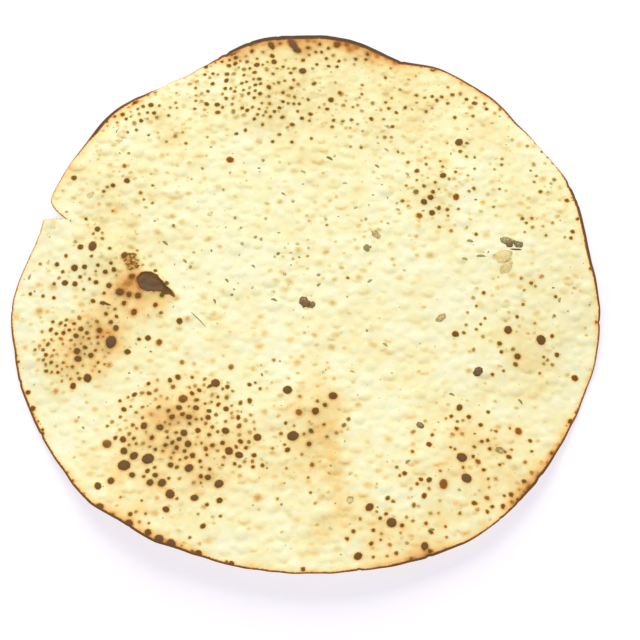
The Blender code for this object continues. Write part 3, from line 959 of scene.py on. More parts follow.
def triangulated(points):
    # triangles over the face, with the outline's own edges kept
    count = rim["steps"]
    outline = [(step, (step + 1) % count) for step in range(count)]
    places = [Vector(point) for point in points]
    result = delaunay_2d_cdt(places, outline, [], 1, weave["sameSpot"], True)
    kept = np.array([tuple(point) for point in result[0]])
    first = [min(origin) if origin else count for origin in result[3]]
    faces = np.array(result[2])
    onOutline = np.array(first) < count
    middle = kept[faces].mean(axis=1)
    outside = onOutline[faces].all(axis=1) & (insideRim(middle[:, 0], middle[:, 1]) < weave["roundness"])
    return kept, faces[~outside], first


def rimDistance(x, y):
    # true distance to the edge, also beside the notch
    edgeX, edgeY = polar(rimAngle, rimReach)
    distance = insideRim(x, y)
    near = np.where(distance < weave["nearRim"])[0]
    for chunk in np.array_split(near, max(1, len(near) // weave["atOnce"])):
        gaps = np.hypot(x[chunk, None] - edgeX[None, :], y[chunk, None] - edgeY[None, :])
        distance[chunk] = np.minimum(distance[chunk], gaps.min(axis=1))
    return distance


def spotEdges(spots, x, y, furthest=-3.0, middle=0.05):
    # for every point: how far inside the nearest spot it lies, and that spot's burn, rust and half width
    edge = np.full(len(x), furthest)
    burn, rust, half = np.zeros(len(x)), np.zeros(len(x)), np.ones(len(x))
    order = np.argsort(y)
    ordered = y[order]
    for cx, cy, length, width, turn, depth, redness in spots:
        reach = length - furthest
        rows = order[slice(*np.searchsorted(ordered, (cy - reach, cy + reach)))]
        rows = rows[np.abs(x[rows] - cx) < reach]
        dx, dy = x[rows] - cx, y[rows] - cy
        along = dx * math.cos(turn) + dy * math.sin(turn)
        across = dy * math.cos(turn) - dx * math.sin(turn)
        share = np.hypot(along / length, across / width) + 1e-9
        here = np.hypot(dx, dy) * (1 / share - 1)
        here[share < middle] = width
        closer = here > edge[rows]
        edge[rows[closer]] = here[closer]
        burn[rows[closer]] = depth
        rust[rows[closer]] = redness
        half[rows[closer]] = width
    return edge, burn, rust, half


def faceLooks(x, y, dark, pale, toastAndShade, angleShift):
    # the values that the dough's material reads at every point
    inside = rimDistance(x, y)
    angle = np.degrees(np.arctan2(y, x)) + angleShift
    line, darkness, band, warmth = scorchAt(angle)
    looks = {"rimInside": inside, "rimLine": line, "rimDark": darkness}
    rimWarmth = warmth * np.exp(-(np.clip(inside, 0, None) / band) ** toasting["rimFade"])
    looks["toastAndShade"] = readAt(toastAndShade, x, y) + rimWarmth
    looks["charEdge"], looks["charBurn"], looks["charRust"], looks["charHalf"] = spotEdges(dark.rows, x, y)
    edge, looks["paleBurn"], looks["paleRust"], half = spotEdges(pale.rows, x, y)
    # broad ones fade out further
    looks["paleEdge"] = edge / np.maximum(half / spotDraw["paleSoftness"], 1)
    return looks


def addPatch(x, y, looks):
    # the burnt patch takes over from the spots wherever it is nearer
    edge = readAt(patchEdge, x, y)
    closer = edge > looks["charEdge"]
    tipX, tipY = onSheet(*max(burntPatch["outline"]))
    fromTip = np.hypot(x - tipX, y - tipY) / burntPatch["tail"]
    tail = np.clip(burntPatch["tailReach"] * (1 - fromTip), 0, 1)
    middle = np.clip(edge, 0, 1) * (1 - tail)
    burn = burntPatch["edgeBurn"] + (1 - burntPatch["edgeBurn"]) * middle
    burn -= burntPatch["tailPaler"] * tail * np.clip(edge / burntPatch["margin"], 0, 1)
    atMargin, inMiddle, inTail = burntPatch["rust"]
    rust = atMargin + (inMiddle - atMargin) * middle + (inTail - atMargin) * tail
    values = {"charEdge": edge, "charBurn": burn, "charRust": rust, "charHalf": burntPatch["halfWidth"]}
    for name, value in values.items():
        looks[name] = np.where(closer, value, looks[name])


sheetForm = {
    "thinnest": 0.42,
    "ceiling": 0.2,            # how far a blister may rise past the solid's highest point
    "rimCalm": (1.2, 0.35),    # nearer to the rim than this the relief gets lower, down to this share
    "underRelief": 0.7,        # share of its relief that the underside keeps
    "edgeBends": (45.0, 0.0, -45.0),
    "underShift": 3.0,         # degrees that its scorch is turned by, underneath and on the edge
    "edgeShift": 1.5,
}


def upperHeight(x, y):
    # the solid's own face with its relief, calmer by the rim
    calmFrom, least = sheetForm["rimCalm"]
    share = np.clip(insideRim(x, y) / calmFrom, least, 1)
    height = readAt(upperFace, x, y) + readAt(upperRelief, x, y) * share
    return np.minimum(height, cadBox[1].z / mm + sheetForm["ceiling"])


def lowerHeight(x, y):
    # the same underneath, never below the table and never through the face above
    height = readAt(lowerFace, x, y) - readAt(lowerRelief, x, y) * sheetForm["underRelief"]
    return np.clip(height, 0, readAt(upperFace, x, y) - sheetForm["thinnest"])


def quadsBetween(first, second):
    # closes the gap between two rings of points
    count = len(first)
    return [(first[step], second[step], second[(step + 1) % count], first[(step + 1) % count])
            for step in range(count)]


def edgeRings(topEdge, underEdge):
    # the edge between the faces is a half round
    fullX, fullY = polar(rimAngle, rimReach)
    rings = []
    for bend in np.radians(sheetForm["edgeBends"]):
        out, high = 1 - math.cos(bend), (1 + math.sin(bend)) / 2
        x = fullX + (topEdge[:, 0] - fullX) * out
        y = fullY + (topEdge[:, 1] - fullY) * out
        z = topEdge[:, 2] * high + underEdge[:, 2] * (1 - high)
        rings.append(np.column_stack([x, y, z]))
    return rings


def buildSheet():
    topPoints = facePoints(darkSpots.rows, weave["step"], weave["seed"], patchPoints())
    top, topFaces, topFirst = triangulated(topPoints)
    under, underFaces, underFirst = triangulated(facePoints([], weave["stepUnder"], weave["seed"] + 1))
    topX, topY = top[:, 0], top[:, 1]
    underX, underY = under[:, 0], under[:, 1]
    top = np.column_stack([top, upperHeight(topX, topY)])
    under = np.column_stack([under, lowerHeight(underX, underY)])
    count = rim["steps"]
    topRim, underRim = ([first.index(step) for step in range(count)] for first in (topFirst, underFirst))
    wall = edgeRings(top[topRim], under[underRim])
    verts = np.vstack([top, under, *wall])
    faces = [tuple(face) for face in topFaces]
    faces += [tuple(face + len(top))[::-1] for face in underFaces]
    wallStart = len(top) + len(under)
    starts = [wallStart + number * count for number in range(len(wall))]
    rings = [topRim, *(range(start, start + count) for start in starts)]
    rings.append([index + len(top) for index in underRim])
    for first, second in zip(rings, rings[1:]):
        faces += quadsBetween(first, second)
    mesh = bpy.data.meshes.new("papadumSheet")
    mesh.from_pydata((verts * mm).tolist(), [], faces)
    topLooks = faceLooks(topX, topY, darkSpots, paleSpots, upperToastAndShade, 0.0)
    addPatch(topX, topY, topLooks)
    underLooks = faceLooks(underX, underY, darkUnder, paleUnder, lowerToastAndShade, sheetForm["underShift"])
    wallX, wallY = verts[wallStart:, 0], verts[wallStart:, 1]
    wallLooks = faceLooks(wallX, wallY, darkSpots, paleSpots, upperToastAndShade, sheetForm["edgeShift"])
    for name in topLooks:
        values = np.concatenate([topLooks[name], underLooks[name], wallLooks[name]])
        layer = mesh.attributes.new(name, "FLOAT", "POINT")
        layer.data.foreach_set("value", values.astype(np.float32))
    mesh.shade_smooth()
    sheet = bpy.data.objects.new("papadumSheet", mesh)
    bpy.context.scene.collection.objects.link(sheet)
    print(f"sheet: {len(verts)} points, {sum(len(face) - 2 for face in faces)} triangles")
    return sheet


sheet = buildSheet()


class Recipe:
    # the nodes of one material, added one at a time
    def __init__(self, name):
        self.material = bpy.data.materials.new(name)
        self.material.use_nodes = True
        self.tree = self.material.node_tree
        self.shader = self.tree.nodes["Principled BSDF"]
        self.place = self.add("ShaderNodeTexCoord").outputs["Object"]

    def add(self, kind, inputs=(), **settings):
        node = self.tree.nodes.new(kind)
        for name, value in settings.items():
            setattr(node, name, value)
        for socket, value in dict(inputs).items():
            if isinstance(value, bpy.types.NodeSocket):
                self.tree.links.new(value, node.inputs[socket])
            else:
                node.inputs[socket].default_value = value
        return node

    def value(self, name):
        return self.add("ShaderNodeAttribute", attribute_name=name).outputs["Fac"]

    def maths(self, operation, a, b=0.0, clamp=False):
        return self.add("ShaderNodeMath", {0: a, 1: b}, operation=operation, use_clamp=clamp).outputs[0]

    def ramp(self, value, low, high, toLow=0.0, toHigh=1.0):
        node = self.add("ShaderNodeMapRange", {"Value": value, "From Min": low, "From Max": high,
                                               "To Min": toLow, "To Max": toHigh})
        node.interpolation_type = "SMOOTHSTEP"
        return node.outputs["Result"]

    def noise(self, size, detail=2.0, roughness=0.5):
        inputs = {"Vector": self.place, "Scale": 1 / (size * mm), "Detail": detail, "Roughness": roughness}
        return self.add("ShaderNodeTexNoise", inputs).outputs["Fac"]

    def colours(self, value, stops):
        node = self.add("ShaderNodeValToRGB", {"Fac": value})
        ramp = node.color_ramp
        while len(ramp.elements) < len(stops):
            ramp.elements.new(0.5)
        for element, (position, colour) in zip(ramp.elements, stops):
            element.position = position
            element.color = (*colour, 1)
        return node.outputs["Color"]

    def blend(self, share, a, b):
        return self.add("ShaderNodeMix", {"Factor": share, 2: a, 3: b}, data_type="FLOAT").outputs[0]

    def mix(self, share, a, b):
        node = self.add("ShaderNodeMix", data_type="RGBA")
        for socket, value in ((node.inputs["Factor"], share), (node.inputs[6], a), (node.inputs[7], b)):
            if isinstance(value, bpy.types.NodeSocket):
                self.tree.links.new(value, socket)
            elif isinstance(value, tuple):
                socket.default_value = (*value, 1)
            else:
                socket.default_value = value
        return node.outputs[2]

    def set(self, name, value):
        if isinstance(value, bpy.types.NodeSocket):
            self.tree.links.new(value, self.shader.inputs[name])
        else:
            self.shader.inputs[name].default_value = value


def shade(red, green, blue):
    # a colour as it is seen on a screen, 0 to 255, as the light it stands for
    return tuple(((value / 255 + 0.055) / 1.055) ** 2.4 for value in (red, green, blue))


doughFinish = {
    "olive": [(0.00, shade(233, 230, 196)), (0.12, shade(230, 223, 176)), (0.28, shade(222, 203, 142)),
              (0.40, shade(198, 175, 117)), (0.52, shade(164, 138, 76)), (0.64, shade(132, 104, 42)),
              (0.76, shade(113, 83, 22)), (0.88, shade(110, 79, 26)), (1.00, shade(109, 80, 46))],
    "rusty": [(0.00, shade(234, 232, 198)), (0.12, shade(233, 225, 176)), (0.28, shade(234, 200, 131)),
              (0.40, shade(223, 174, 106)), (0.52, shade(195, 140, 70)), (0.64, shade(154, 98, 32)),
              (0.76, shade(126, 74, 18)), (0.88, shade(116, 72, 24)), (1.00, shade(110, 76, 44))],
    "slate": shade(99, 78, 63),
    "crust": shade(84, 58, 40),
    "soot": shade(76, 66, 54),
    "speck": shade(122, 112, 78),
    # mottling of the dough: size in mm, detail, roughness
    "ragged": (0.55, 3.0),
    "middling": (1.6, 3.0, 0.6),
    "soft": (7.0, 2.0),
    "patchy": (1.1, 2.0),
    # how far that mottling moves an edge, in mm for char and as shares of that for the others
    "shift": 0.42,
    "paleShift": 1.5,
    "rimShift": 1.6,
    # every ramp below is: where it starts, where it ends, and then its value at the two
    "charBurn": (0.62, 0.9),                      # from browned to black
    "softEdge": ((-0.38, -0.32), (0.80, 0.42)),   # where a spot fades out and in: brown ones, black ones
    "softShare": 0.55,                            # of its half width, which that never passes
    "charMottle": (0.3, 0.7, 0.93, 1.04),
    "charGlow": (-0.75, 0.05, 0.0, 0.16),
    "paleEdge": (-0.6, 0.65),
    "rimEdge": (0.5, -0.3),
    "middlingHeat": (0.3, 0.75, -0.02, 0.03),
    "softHeat": (0.3, 0.7, -0.015, 0.02),
    "doughRust": (0.16, 0.92),                    # at the far side, at the near side
    "rustTurn": (8.0, -32.0),                     # where on the sheet the one becomes the other, in mm
    "rustTilt": 0.34,                             # that line runs a little askew
    "softRust": (0.3, 0.7, -0.15, 0.2),
    "nearPale": (-1.0, -0.4),
    "nearChar": (-0.45, -0.1),
    "toastRust": (0.25, 0.42, 0.0, 0.95),         # deeply toasted dough is redder too
    "rimRust": (6.0, 1.5, 0.0, 0.9),              # and so is the toasting close to the rim
    "scorchRust": (0.45, 0.85, 0.35, 1.0),        # most where the rim is black
    "crustStart": (0.12, 0.40, 0.0, 0.55),        # a dark crust just inside the edge of a large spot
    "crustEnd": (1.1, 0.5),
    "crustSpot": (1.2, 2.4),
    "slateStart": (0.5, 1.3),                     # and grey char further in
    "slateMottle": (0.40, 0.62, 0.10, 0.9),
    "sootEdge": (0.0, -0.7),
    "sootRim": (0.86, 0.96, 0.0, 0.8),
    # specks in the dough: size of the cells in mm, reach in them, strength, share of cells without one
    "specks": ((3.3, 0.105, 0.62, 0.50), (1.9, 0.14, 0.34, 0.55)),
    "speckFade": 0.55,
    "speckChoice": 0.35,
    "roughness": (0.1, 1.0, 0.58, 0.82),
    "roughMottle": 0.3,
    "gloss": 0.22,
    "underSkin": 0.24,                            # light that runs through the thin dough
    "skinRadius": (1.0, 0.5, 0.22),
    "skinDepth": 1.4,
    "grains": ((0.3, 3.0, 0.6), (0.9, 2.0)),
    "coarseGrain": 1.4,
    "grainStrength": 0.35,
    "grainHeight": 0.07,
}


def charHeat(dough, edge):
    # how burnt a char spot is, and how warm the dough round it
    burn = dough.value("charBurn")
    fadeOut, fadeIn = (dough.ramp(burn, *doughFinish["charBurn"], *ends) for ends in doughFinish["softEdge"])
    widest = dough.maths("MULTIPLY", dough.value("charHalf"), doughFinish["softShare"])
    fadeIn = dough.maths("MINIMUM", fadeIn, widest)
    mottle = dough.ramp(dough.noise(*doughFinish["patchy"]), *doughFinish["charMottle"])
    patchy = dough.maths("MULTIPLY", burn, mottle)
    core = dough.maths("MULTIPLY", dough.ramp(edge, fadeOut, fadeIn), patchy)
    glow = dough.maths("MULTIPLY", dough.ramp(edge, *doughFinish["charGlow"]), burn)
    return core, glow


def paleHeat(dough, shift):
    # how warm a toasted blister is
    moved = dough.maths("MULTIPLY", shift, doughFinish["paleShift"])
    fromPale = dough.maths("ADD", dough.value("paleEdge"), moved)
    return dough.maths("MULTIPLY", dough.ramp(fromPale, *doughFinish["paleEdge"]), dough.value("paleBurn"))


def pastRimLine(dough, shift):
    # millimetres inward from where the black line along the rim ends
    moved = dough.maths("MULTIPLY", shift, doughFinish["rimShift"])
    fromRim = dough.maths("ADD", dough.value("rimInside"), moved)
    return dough.maths("SUBTRACT", fromRim, dough.value("rimLine"))


def hottest(dough, middling, soft, core, glow, blush, scorch):
    # the dough's own toasting with its painted shade, and over it whatever burnt it more
    heat = dough.maths("ADD", dough.value("toastAndShade"), glow)
    heat = dough.maths("ADD", heat, dough.ramp(middling, *doughFinish["middlingHeat"]))
    heat = dough.maths("ADD", heat, dough.ramp(soft, *doughFinish["softHeat"]))
    heat = dough.maths("MAXIMUM", heat, blush)
    heat = dough.maths("MAXIMUM", heat, core)
    return dough.maths("MAXIMUM", heat, scorch, clamp=True)


def doughRedness(dough, edge, soft):
    # 0 is olive and 1 is rusty: across the sheet, in the spots, and where it is deeply toasted
    far, near = (turn * mm for turn in doughFinish["rustTurn"])
    where = dough.add("ShaderNodeSeparateXYZ", {"Vector": dough.place})
    across = dough.maths("MULTIPLY", where.outputs["X"], doughFinish["rustTilt"])
    across = dough.maths("ADD", across, where.outputs["Y"])
    redness = dough.ramp(across, far, near, *doughFinish["doughRust"])
    redness = dough.maths("ADD", redness, dough.ramp(soft, *doughFinish["softRust"]))
    nearPale = dough.ramp(dough.value("paleEdge"), *doughFinish["nearPale"])
    redness = dough.blend(nearPale, redness, dough.value("paleRust"))
    redness = dough.blend(dough.ramp(edge, *doughFinish["nearChar"]), redness, dough.value("charRust"))
    redness = dough.maths("MAXIMUM", redness, dough.ramp(dough.value("toastAndShade"), *doughFinish["toastRust"]))
    closeToRim = dough.ramp(dough.value("rimInside"), *doughFinish["rimRust"])
    scorched = dough.ramp(dough.value("rimDark"), *doughFinish["scorchRust"])
    return dough.maths("MAXIMUM", redness, dough.maths("MULTIPLY", closeToRim, scorched))


def withCrust(dough, colour, edge, middling):
    # large spots: a dark crust inside their edge, and grey char further in
    crust = dough.maths("MULTIPLY", dough.ramp(edge, *doughFinish["crustStart"]),
                        dough.ramp(edge, *doughFinish["crustEnd"]))
    crust = dough.maths("MULTIPLY", crust, dough.ramp(dough.value("charHalf"), *doughFinish["crustSpot"]))
    colour = dough.mix(crust, colour, doughFinish["crust"])
    slate = dough.maths("MULTIPLY", dough.ramp(edge, *doughFinish["slateStart"]),
                        dough.ramp(middling, *doughFinish["slateMottle"]))
    return dough.mix(slate, colour, doughFinish["slate"])


def withSoot(dough, colour, lineShare):
    # the blackest stretches of the rim are sooty
    soot = dough.maths("MULTIPLY", dough.ramp(lineShare, *doughFinish["sootEdge"]),
                       dough.ramp(dough.value("rimDark"), *doughFinish["sootRim"]))
    return dough.mix(soot, colour, doughFinish["soot"])


def withSpecks(dough, colour):
    # ground spice in the dough, too small to be laid as crumbs
    for size, reach, strength, without in doughFinish["specks"]:
        cells = dough.add("ShaderNodeTexVoronoi", {"Vector": dough.place, "Scale": 1 / (size * mm)})
        dot = dough.ramp(cells.outputs["Distance"], reach, reach * doughFinish["speckFade"])
        draw = dough.add("ShaderNodeSeparateColor", {"Color": cells.outputs["Color"]}).outputs["Red"]
        chosen = dough.ramp(draw, without, without + doughFinish["speckChoice"], 0.0, strength)
        colour = dough.mix(dough.maths("MULTIPLY", dot, chosen), colour, doughFinish["speck"])
    return colour


def doughMaterial():
    dough = Recipe("roastedDough")
    ragged, middling, soft = (dough.noise(*doughFinish[name]) for name in ("ragged", "middling", "soft"))
    shift = dough.maths("MULTIPLY", dough.maths("SUBTRACT", ragged, 0.5), doughFinish["shift"])
    edge = dough.maths("ADD", dough.value("charEdge"), shift)
    lineShare = pastRimLine(dough, shift)
    core, glow = charHeat(dough, edge)
    blush = paleHeat(dough, shift)
    scorch = dough.maths("MULTIPLY", dough.ramp(lineShare, *doughFinish["rimEdge"]), dough.value("rimDark"))
    heat = hottest(dough, middling, soft, core, glow, blush, scorch)
    redness = doughRedness(dough, edge, soft)
    colour = dough.mix(redness, *(dough.colours(heat, doughFinish[name]) for name in ("olive", "rusty")))
    colour = withCrust(dough, colour, edge, middling)
    colour = withSoot(dough, colour, lineShare)
    dough.set("Base Color", withSpecks(dough, colour))
    rough = dough.maths("ADD", heat, dough.maths("MULTIPLY", ragged, doughFinish["roughMottle"]))
    dough.set("Roughness", dough.ramp(rough, *doughFinish["roughness"]))
    dough.set("Specular IOR Level", doughFinish["gloss"])
    dough.set("Subsurface Weight", doughFinish["underSkin"])
    dough.set("Subsurface Radius", doughFinish["skinRadius"])
    dough.set("Subsurface Scale", doughFinish["skinDepth"] * mm)
    fine, coarse = (dough.noise(*grain) for grain in doughFinish["grains"])
    grain = dough.maths("ADD", fine, dough.maths("MULTIPLY", coarse, doughFinish["coarseGrain"]))
    bump = dough.add("ShaderNodeBump", {"Height": grain, "Strength": doughFinish["grainStrength"],
                                        "Distance": doughFinish["grainHeight"] * mm})
    dough.set("Normal", bump.outputs["Normal"])
    return dough.material


sheet.data.materials.append(doughMaterial())
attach(sheet, "root")
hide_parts("papadum")
print("sheet dressed in roasted dough")

# what is baked into the dough: whole cumin, cracked pepper, ground spice and husk
upperSurface = upperFace + upperRelief
underSurface = lowerFace - sheetForm["underRelief"] * lowerRelief
slopeY, slopeX = np.gradient(upperSurface, grid["step"])


def standingOn(x, y):
    # height of the upper face there, and the way it faces
    facing = Vector((-float(readAt(slopeX, x, y)), -float(readAt(slopeY, x, y)), 1.0)).normalized()
    return float(readAt(upperSurface, x, y)), facing


def spun(points, turn):
    # points turned round the vertical
    cosine, sine = math.cos(turn), math.sin(turn)
    return points @ np.array([[cosine, sine, 0], [-sine, cosine, 0], [0, 0, 1]])


def layGrain(points, x, y, turn, sunk):
    # turns a grain's points and beds them in the upper face
    height, facing = standingOn(x, y)
    tilt = Vector((0, 0, 1)).rotation_difference(facing).to_matrix()
    return spun(points, turn) @ np.array(tilt).T + (x, y, height - sunk)


def layUnder(points, x, y, turn, sunk):
    # the same on the face underneath, where no grain reaches below the table
    height = max(float(readAt(underSurface, x, y)) + sunk, points[:, 2].max())
    return spun(points, turn) * (1, -1, -1) + (x, y, height)


def turnedOver(faces):
    return [face[::-1] for face in faces]


def joined(name, grains):
    # one mesh from many grains, each with its points, faces and tone
    points, faces, tones, count = [], [], [], 0
    for grainPoints, grainFaces, tone in grains:
        points.append(grainPoints)
        faces += [tuple(corner + count for corner in face) for face in grainFaces]
        tones.append(np.broadcast_to(tone, len(grainPoints)))
        count += len(grainPoints)
    mesh = bpy.data.meshes.new(name)
    mesh.from_pydata((np.vstack(points) * mm).tolist(), [], faces)
    layer = mesh.attributes.new("tone", "FLOAT", "POINT")
    layer.data.foreach_set("value", np.concatenate(tones).astype(np.float32))
    mesh.shade_smooth()
    piece = bpy.data.objects.new(name, mesh)
    bpy.context.scene.collection.objects.link(piece)
    print(f"{name}: {len(grains)} of them, {sum(len(face) - 2 for face in faces)} triangles")
    return piece


def lump(levels):
    # an even ball of triangles, a unit in radius
    shape = bmesh.new()
    bmesh.ops.create_icosphere(shape, subdivisions=levels, radius=1.0)
    points = np.array([vert.co[:] for vert in shape.verts])
    faces = [tuple(vert.index for vert in face.verts) for face in shape.faces]
    shape.free()
    return points, faces


def wrinkled(points, depth, size, shift):
    # a dried skin: folds that run over the ball, with finer sharp ones across them
    fineSize, fineShare = size * 0.55, 0.6
    grown = []
    for point in points:
        fold = noise.noise(Vector(point) / size + Vector((shift, shift * 0.7, -shift)))
        ridge = 1 - 2 * abs(noise.noise(Vector(point) / fineSize + Vector((-shift, 3.1, shift))))
        grown.append(point * (1 + depth * fold + depth * fineShare * ridge))
    return np.array(grown)


cumin = {
    "width": (0.8, 1.0),
    "ridges": 7,
    "ridgeDepth": 0.13,
    "unevenness": 0.05,        # of the depth of its ridges
    "stations": 12,
    "bend": 0.2,
    "blunt": (0.85, 0.6),      # under 1, its thickest place is nearer to one end, and its ends are blunter
    "flatness": 0.85,
    "tip": 0.15,
    "tones": (0.25, 0.62, 0.4, 0.7),   # in its grooves, on its ridges, at its blunt end, at its tip
    "toneShare": 0.5,
    "sunk": (0.02, 0.2),
    "seed": 5,
    # (across, down, length in pixels, turn, tone) in the photo, then in the part that it doesn't show
    "places": [(329.5, 158.5, 8, -32, 0.0), (377, 166, 7, -40, 0.15), (386.5, 150.5, 6.5, -38, 0.4),
               (481, 256, 10, -3, 0.2), (465, 259.5, 7, -10, 0.5), (470, 241, 7, -12, 0.4),
               (345, 183.5, 7, -3, 0.5), (407, 174.5, 6, -52, 0.5), (398, 210, 6, -20, 0.5),
               (202, 168.5, 5.5, -55, 0.3), (165, 243, 7, -40, 0.3), (184.5, 261, 7, -48, 0.3),
               (283, 194, 6, -35, 0.3), (226.5, 280.5, 6.5, -50, 0.2), (214, 301, 6.5, -68, 0.1),
               (274, 300.5, 7, -24, 0.1), (253, 266.5, 6, -42, 0.3), (319, 285, 5, 40, 0.4),
               (303, 172, 7, -30, 0.6), (370, 281, 6, 35, 0.4), (30, 277, 7, 70, 0.4),
               (507, 262, 6.5, 8, 0.2)],
    "hidden": [(452, 395, 7, -20, 0.1), (408, 462, 6, 35, 0.3), (520, 402, 7, -55, 0.2),
               (560, 300, 6, 70, 0.4), (432, 530, 8, 10, 0.2), (385, 345, 6, -38, 0.4),
               (352, 372, 6, -15, 0.5)],
    # a broad flat one: (across, down, length and width in pixels, turn, tone)
    "broad": (367.3, 247, 9.2, 7.6, 76, 0.12),
    "broadFlatness": 0.45,
    "broadSunk": 0.1,
    "under": 16,
    "underLength": (1.8, 2.8),
    "underReach": 78.0,
}
# a fine dark fibre of stalk by the crease
fibre = {"from": (190.5, 312), "to": (206, 327.5), "width": 0.28, "lift": 0.02, "tone": 0.4}


def cuminGrain(length, width, draw):
    # a ridged, slightly bent seed with a blunt end and a pointed one
    sides = cumin["ridges"] * 2
    lean, blunt = cumin["blunt"]
    groove, ridgeTone, endTone, tipTone = cumin["tones"]
    points, tones = [], []
    for station in range(1, cumin["stations"]):
        share = station / cumin["stations"]
        thick = math.sin(math.pi * share ** lean) ** blunt * width / 2
        bend = cumin["bend"] * (1 - (2 * share - 1) ** 2)
        for side in range(sides):
            ridge = side % 2
            uneven = cumin["unevenness"] * draw.normal()
            reach = thick * (1 - cumin["ridgeDepth"] * (1 - ridge) + uneven * cumin["ridgeDepth"])
            around = 2 * math.pi * side / sides
            height = math.sin(around) * reach * cumin["flatness"]
            points.append(((share - 0.5) * length, math.cos(around) * reach + bend, height))
            tones.append(ridgeTone if ridge else groove)
    faces = []
    for station in range(cumin["stations"] - 2):
        for side in range(sides):
            here, there = station * sides + side, station * sides + (side + 1) % sides
            faces.append((here, here + sides, there + sides, there))
    ends = len(points)
    points += [(-length / 2, 0, 0), (length / 2 + cumin["tip"], 0, 0)]
    tones += [endTone, tipTone]
    last = (cumin["stations"] - 2) * sides
    faces += [(ends, side, (side + 1) % sides) for side in range(sides)]
    faces += [(ends + 1, last + (side + 1) % sides, last + side) for side in range(sides)]
    return np.array(points), faces, np.array(tones)


def stalkFibre(draw):
    # a straight thread that follows the dough under it
    (startX, startY), (endX, endY) = onSheet(*fibre["from"]), onSheet(*fibre["to"])
    middleX, middleY = (startX + endX) / 2, (startY + endY) / 2
    length, turn = math.hypot(endX - startX, endY - startY), math.atan2(endY - startY, endX - startX)
    points, faces, tones = cuminGrain(length, fibre["width"], draw)
    alongX, alongY = points[:, 0] * math.cos(turn), points[:, 0] * math.sin(turn)
    under = readAt(upperSurface, middleX + alongX, middleY + alongY)
    laid = layGrain(points, middleX, middleY, turn, 0)
    laid[:, 2] = under + points[:, 2] + fibre["lift"]
    return laid, faces, tones * fibre["tone"]


def cuminSeeds():
    draw = np.random.default_rng(cumin["seed"])
    grains = []
    for across, down, length, turn, tone in cumin["places"] + cumin["hidden"]:
        points, faces, tones = cuminGrain(length * pixelSize, draw.uniform(*cumin["width"]), draw)
        x, y = onSheet(across, down)
        laid = layGrain(points, x, y, math.radians(turn), draw.uniform(*cumin["sunk"]))
        grains.append((laid, faces, tones * cumin["toneShare"] + tone))
    across, down, length, width, turn, tone = cumin["broad"]
    points, faces, tones = cuminGrain(length * pixelSize, width * pixelSize, draw)
    flat = points * (1, 1, cumin["broadFlatness"])
    laid = layGrain(flat, *onSheet(across, down), math.radians(turn), cumin["broadSunk"])
    grains.append((laid, faces, tones * cumin["toneShare"] + tone))
    grains.append(stalkFibre(draw))
    for _ in range(cumin["under"]):
        length, width = draw.uniform(*cumin["underLength"]), draw.uniform(*cumin["width"])
        points, faces, tones = cuminGrain(length, width, draw)
        x, y = polar(draw.uniform(0, 360), cumin["underReach"] * math.sqrt(draw.random()))
        laid = layUnder(points, x, y, draw.uniform(0, 2 * math.pi), draw.uniform(*cumin["sunk"]))
        grains.append((laid, turnedOver(faces), tones))
    return joined("cuminSeeds", grains)


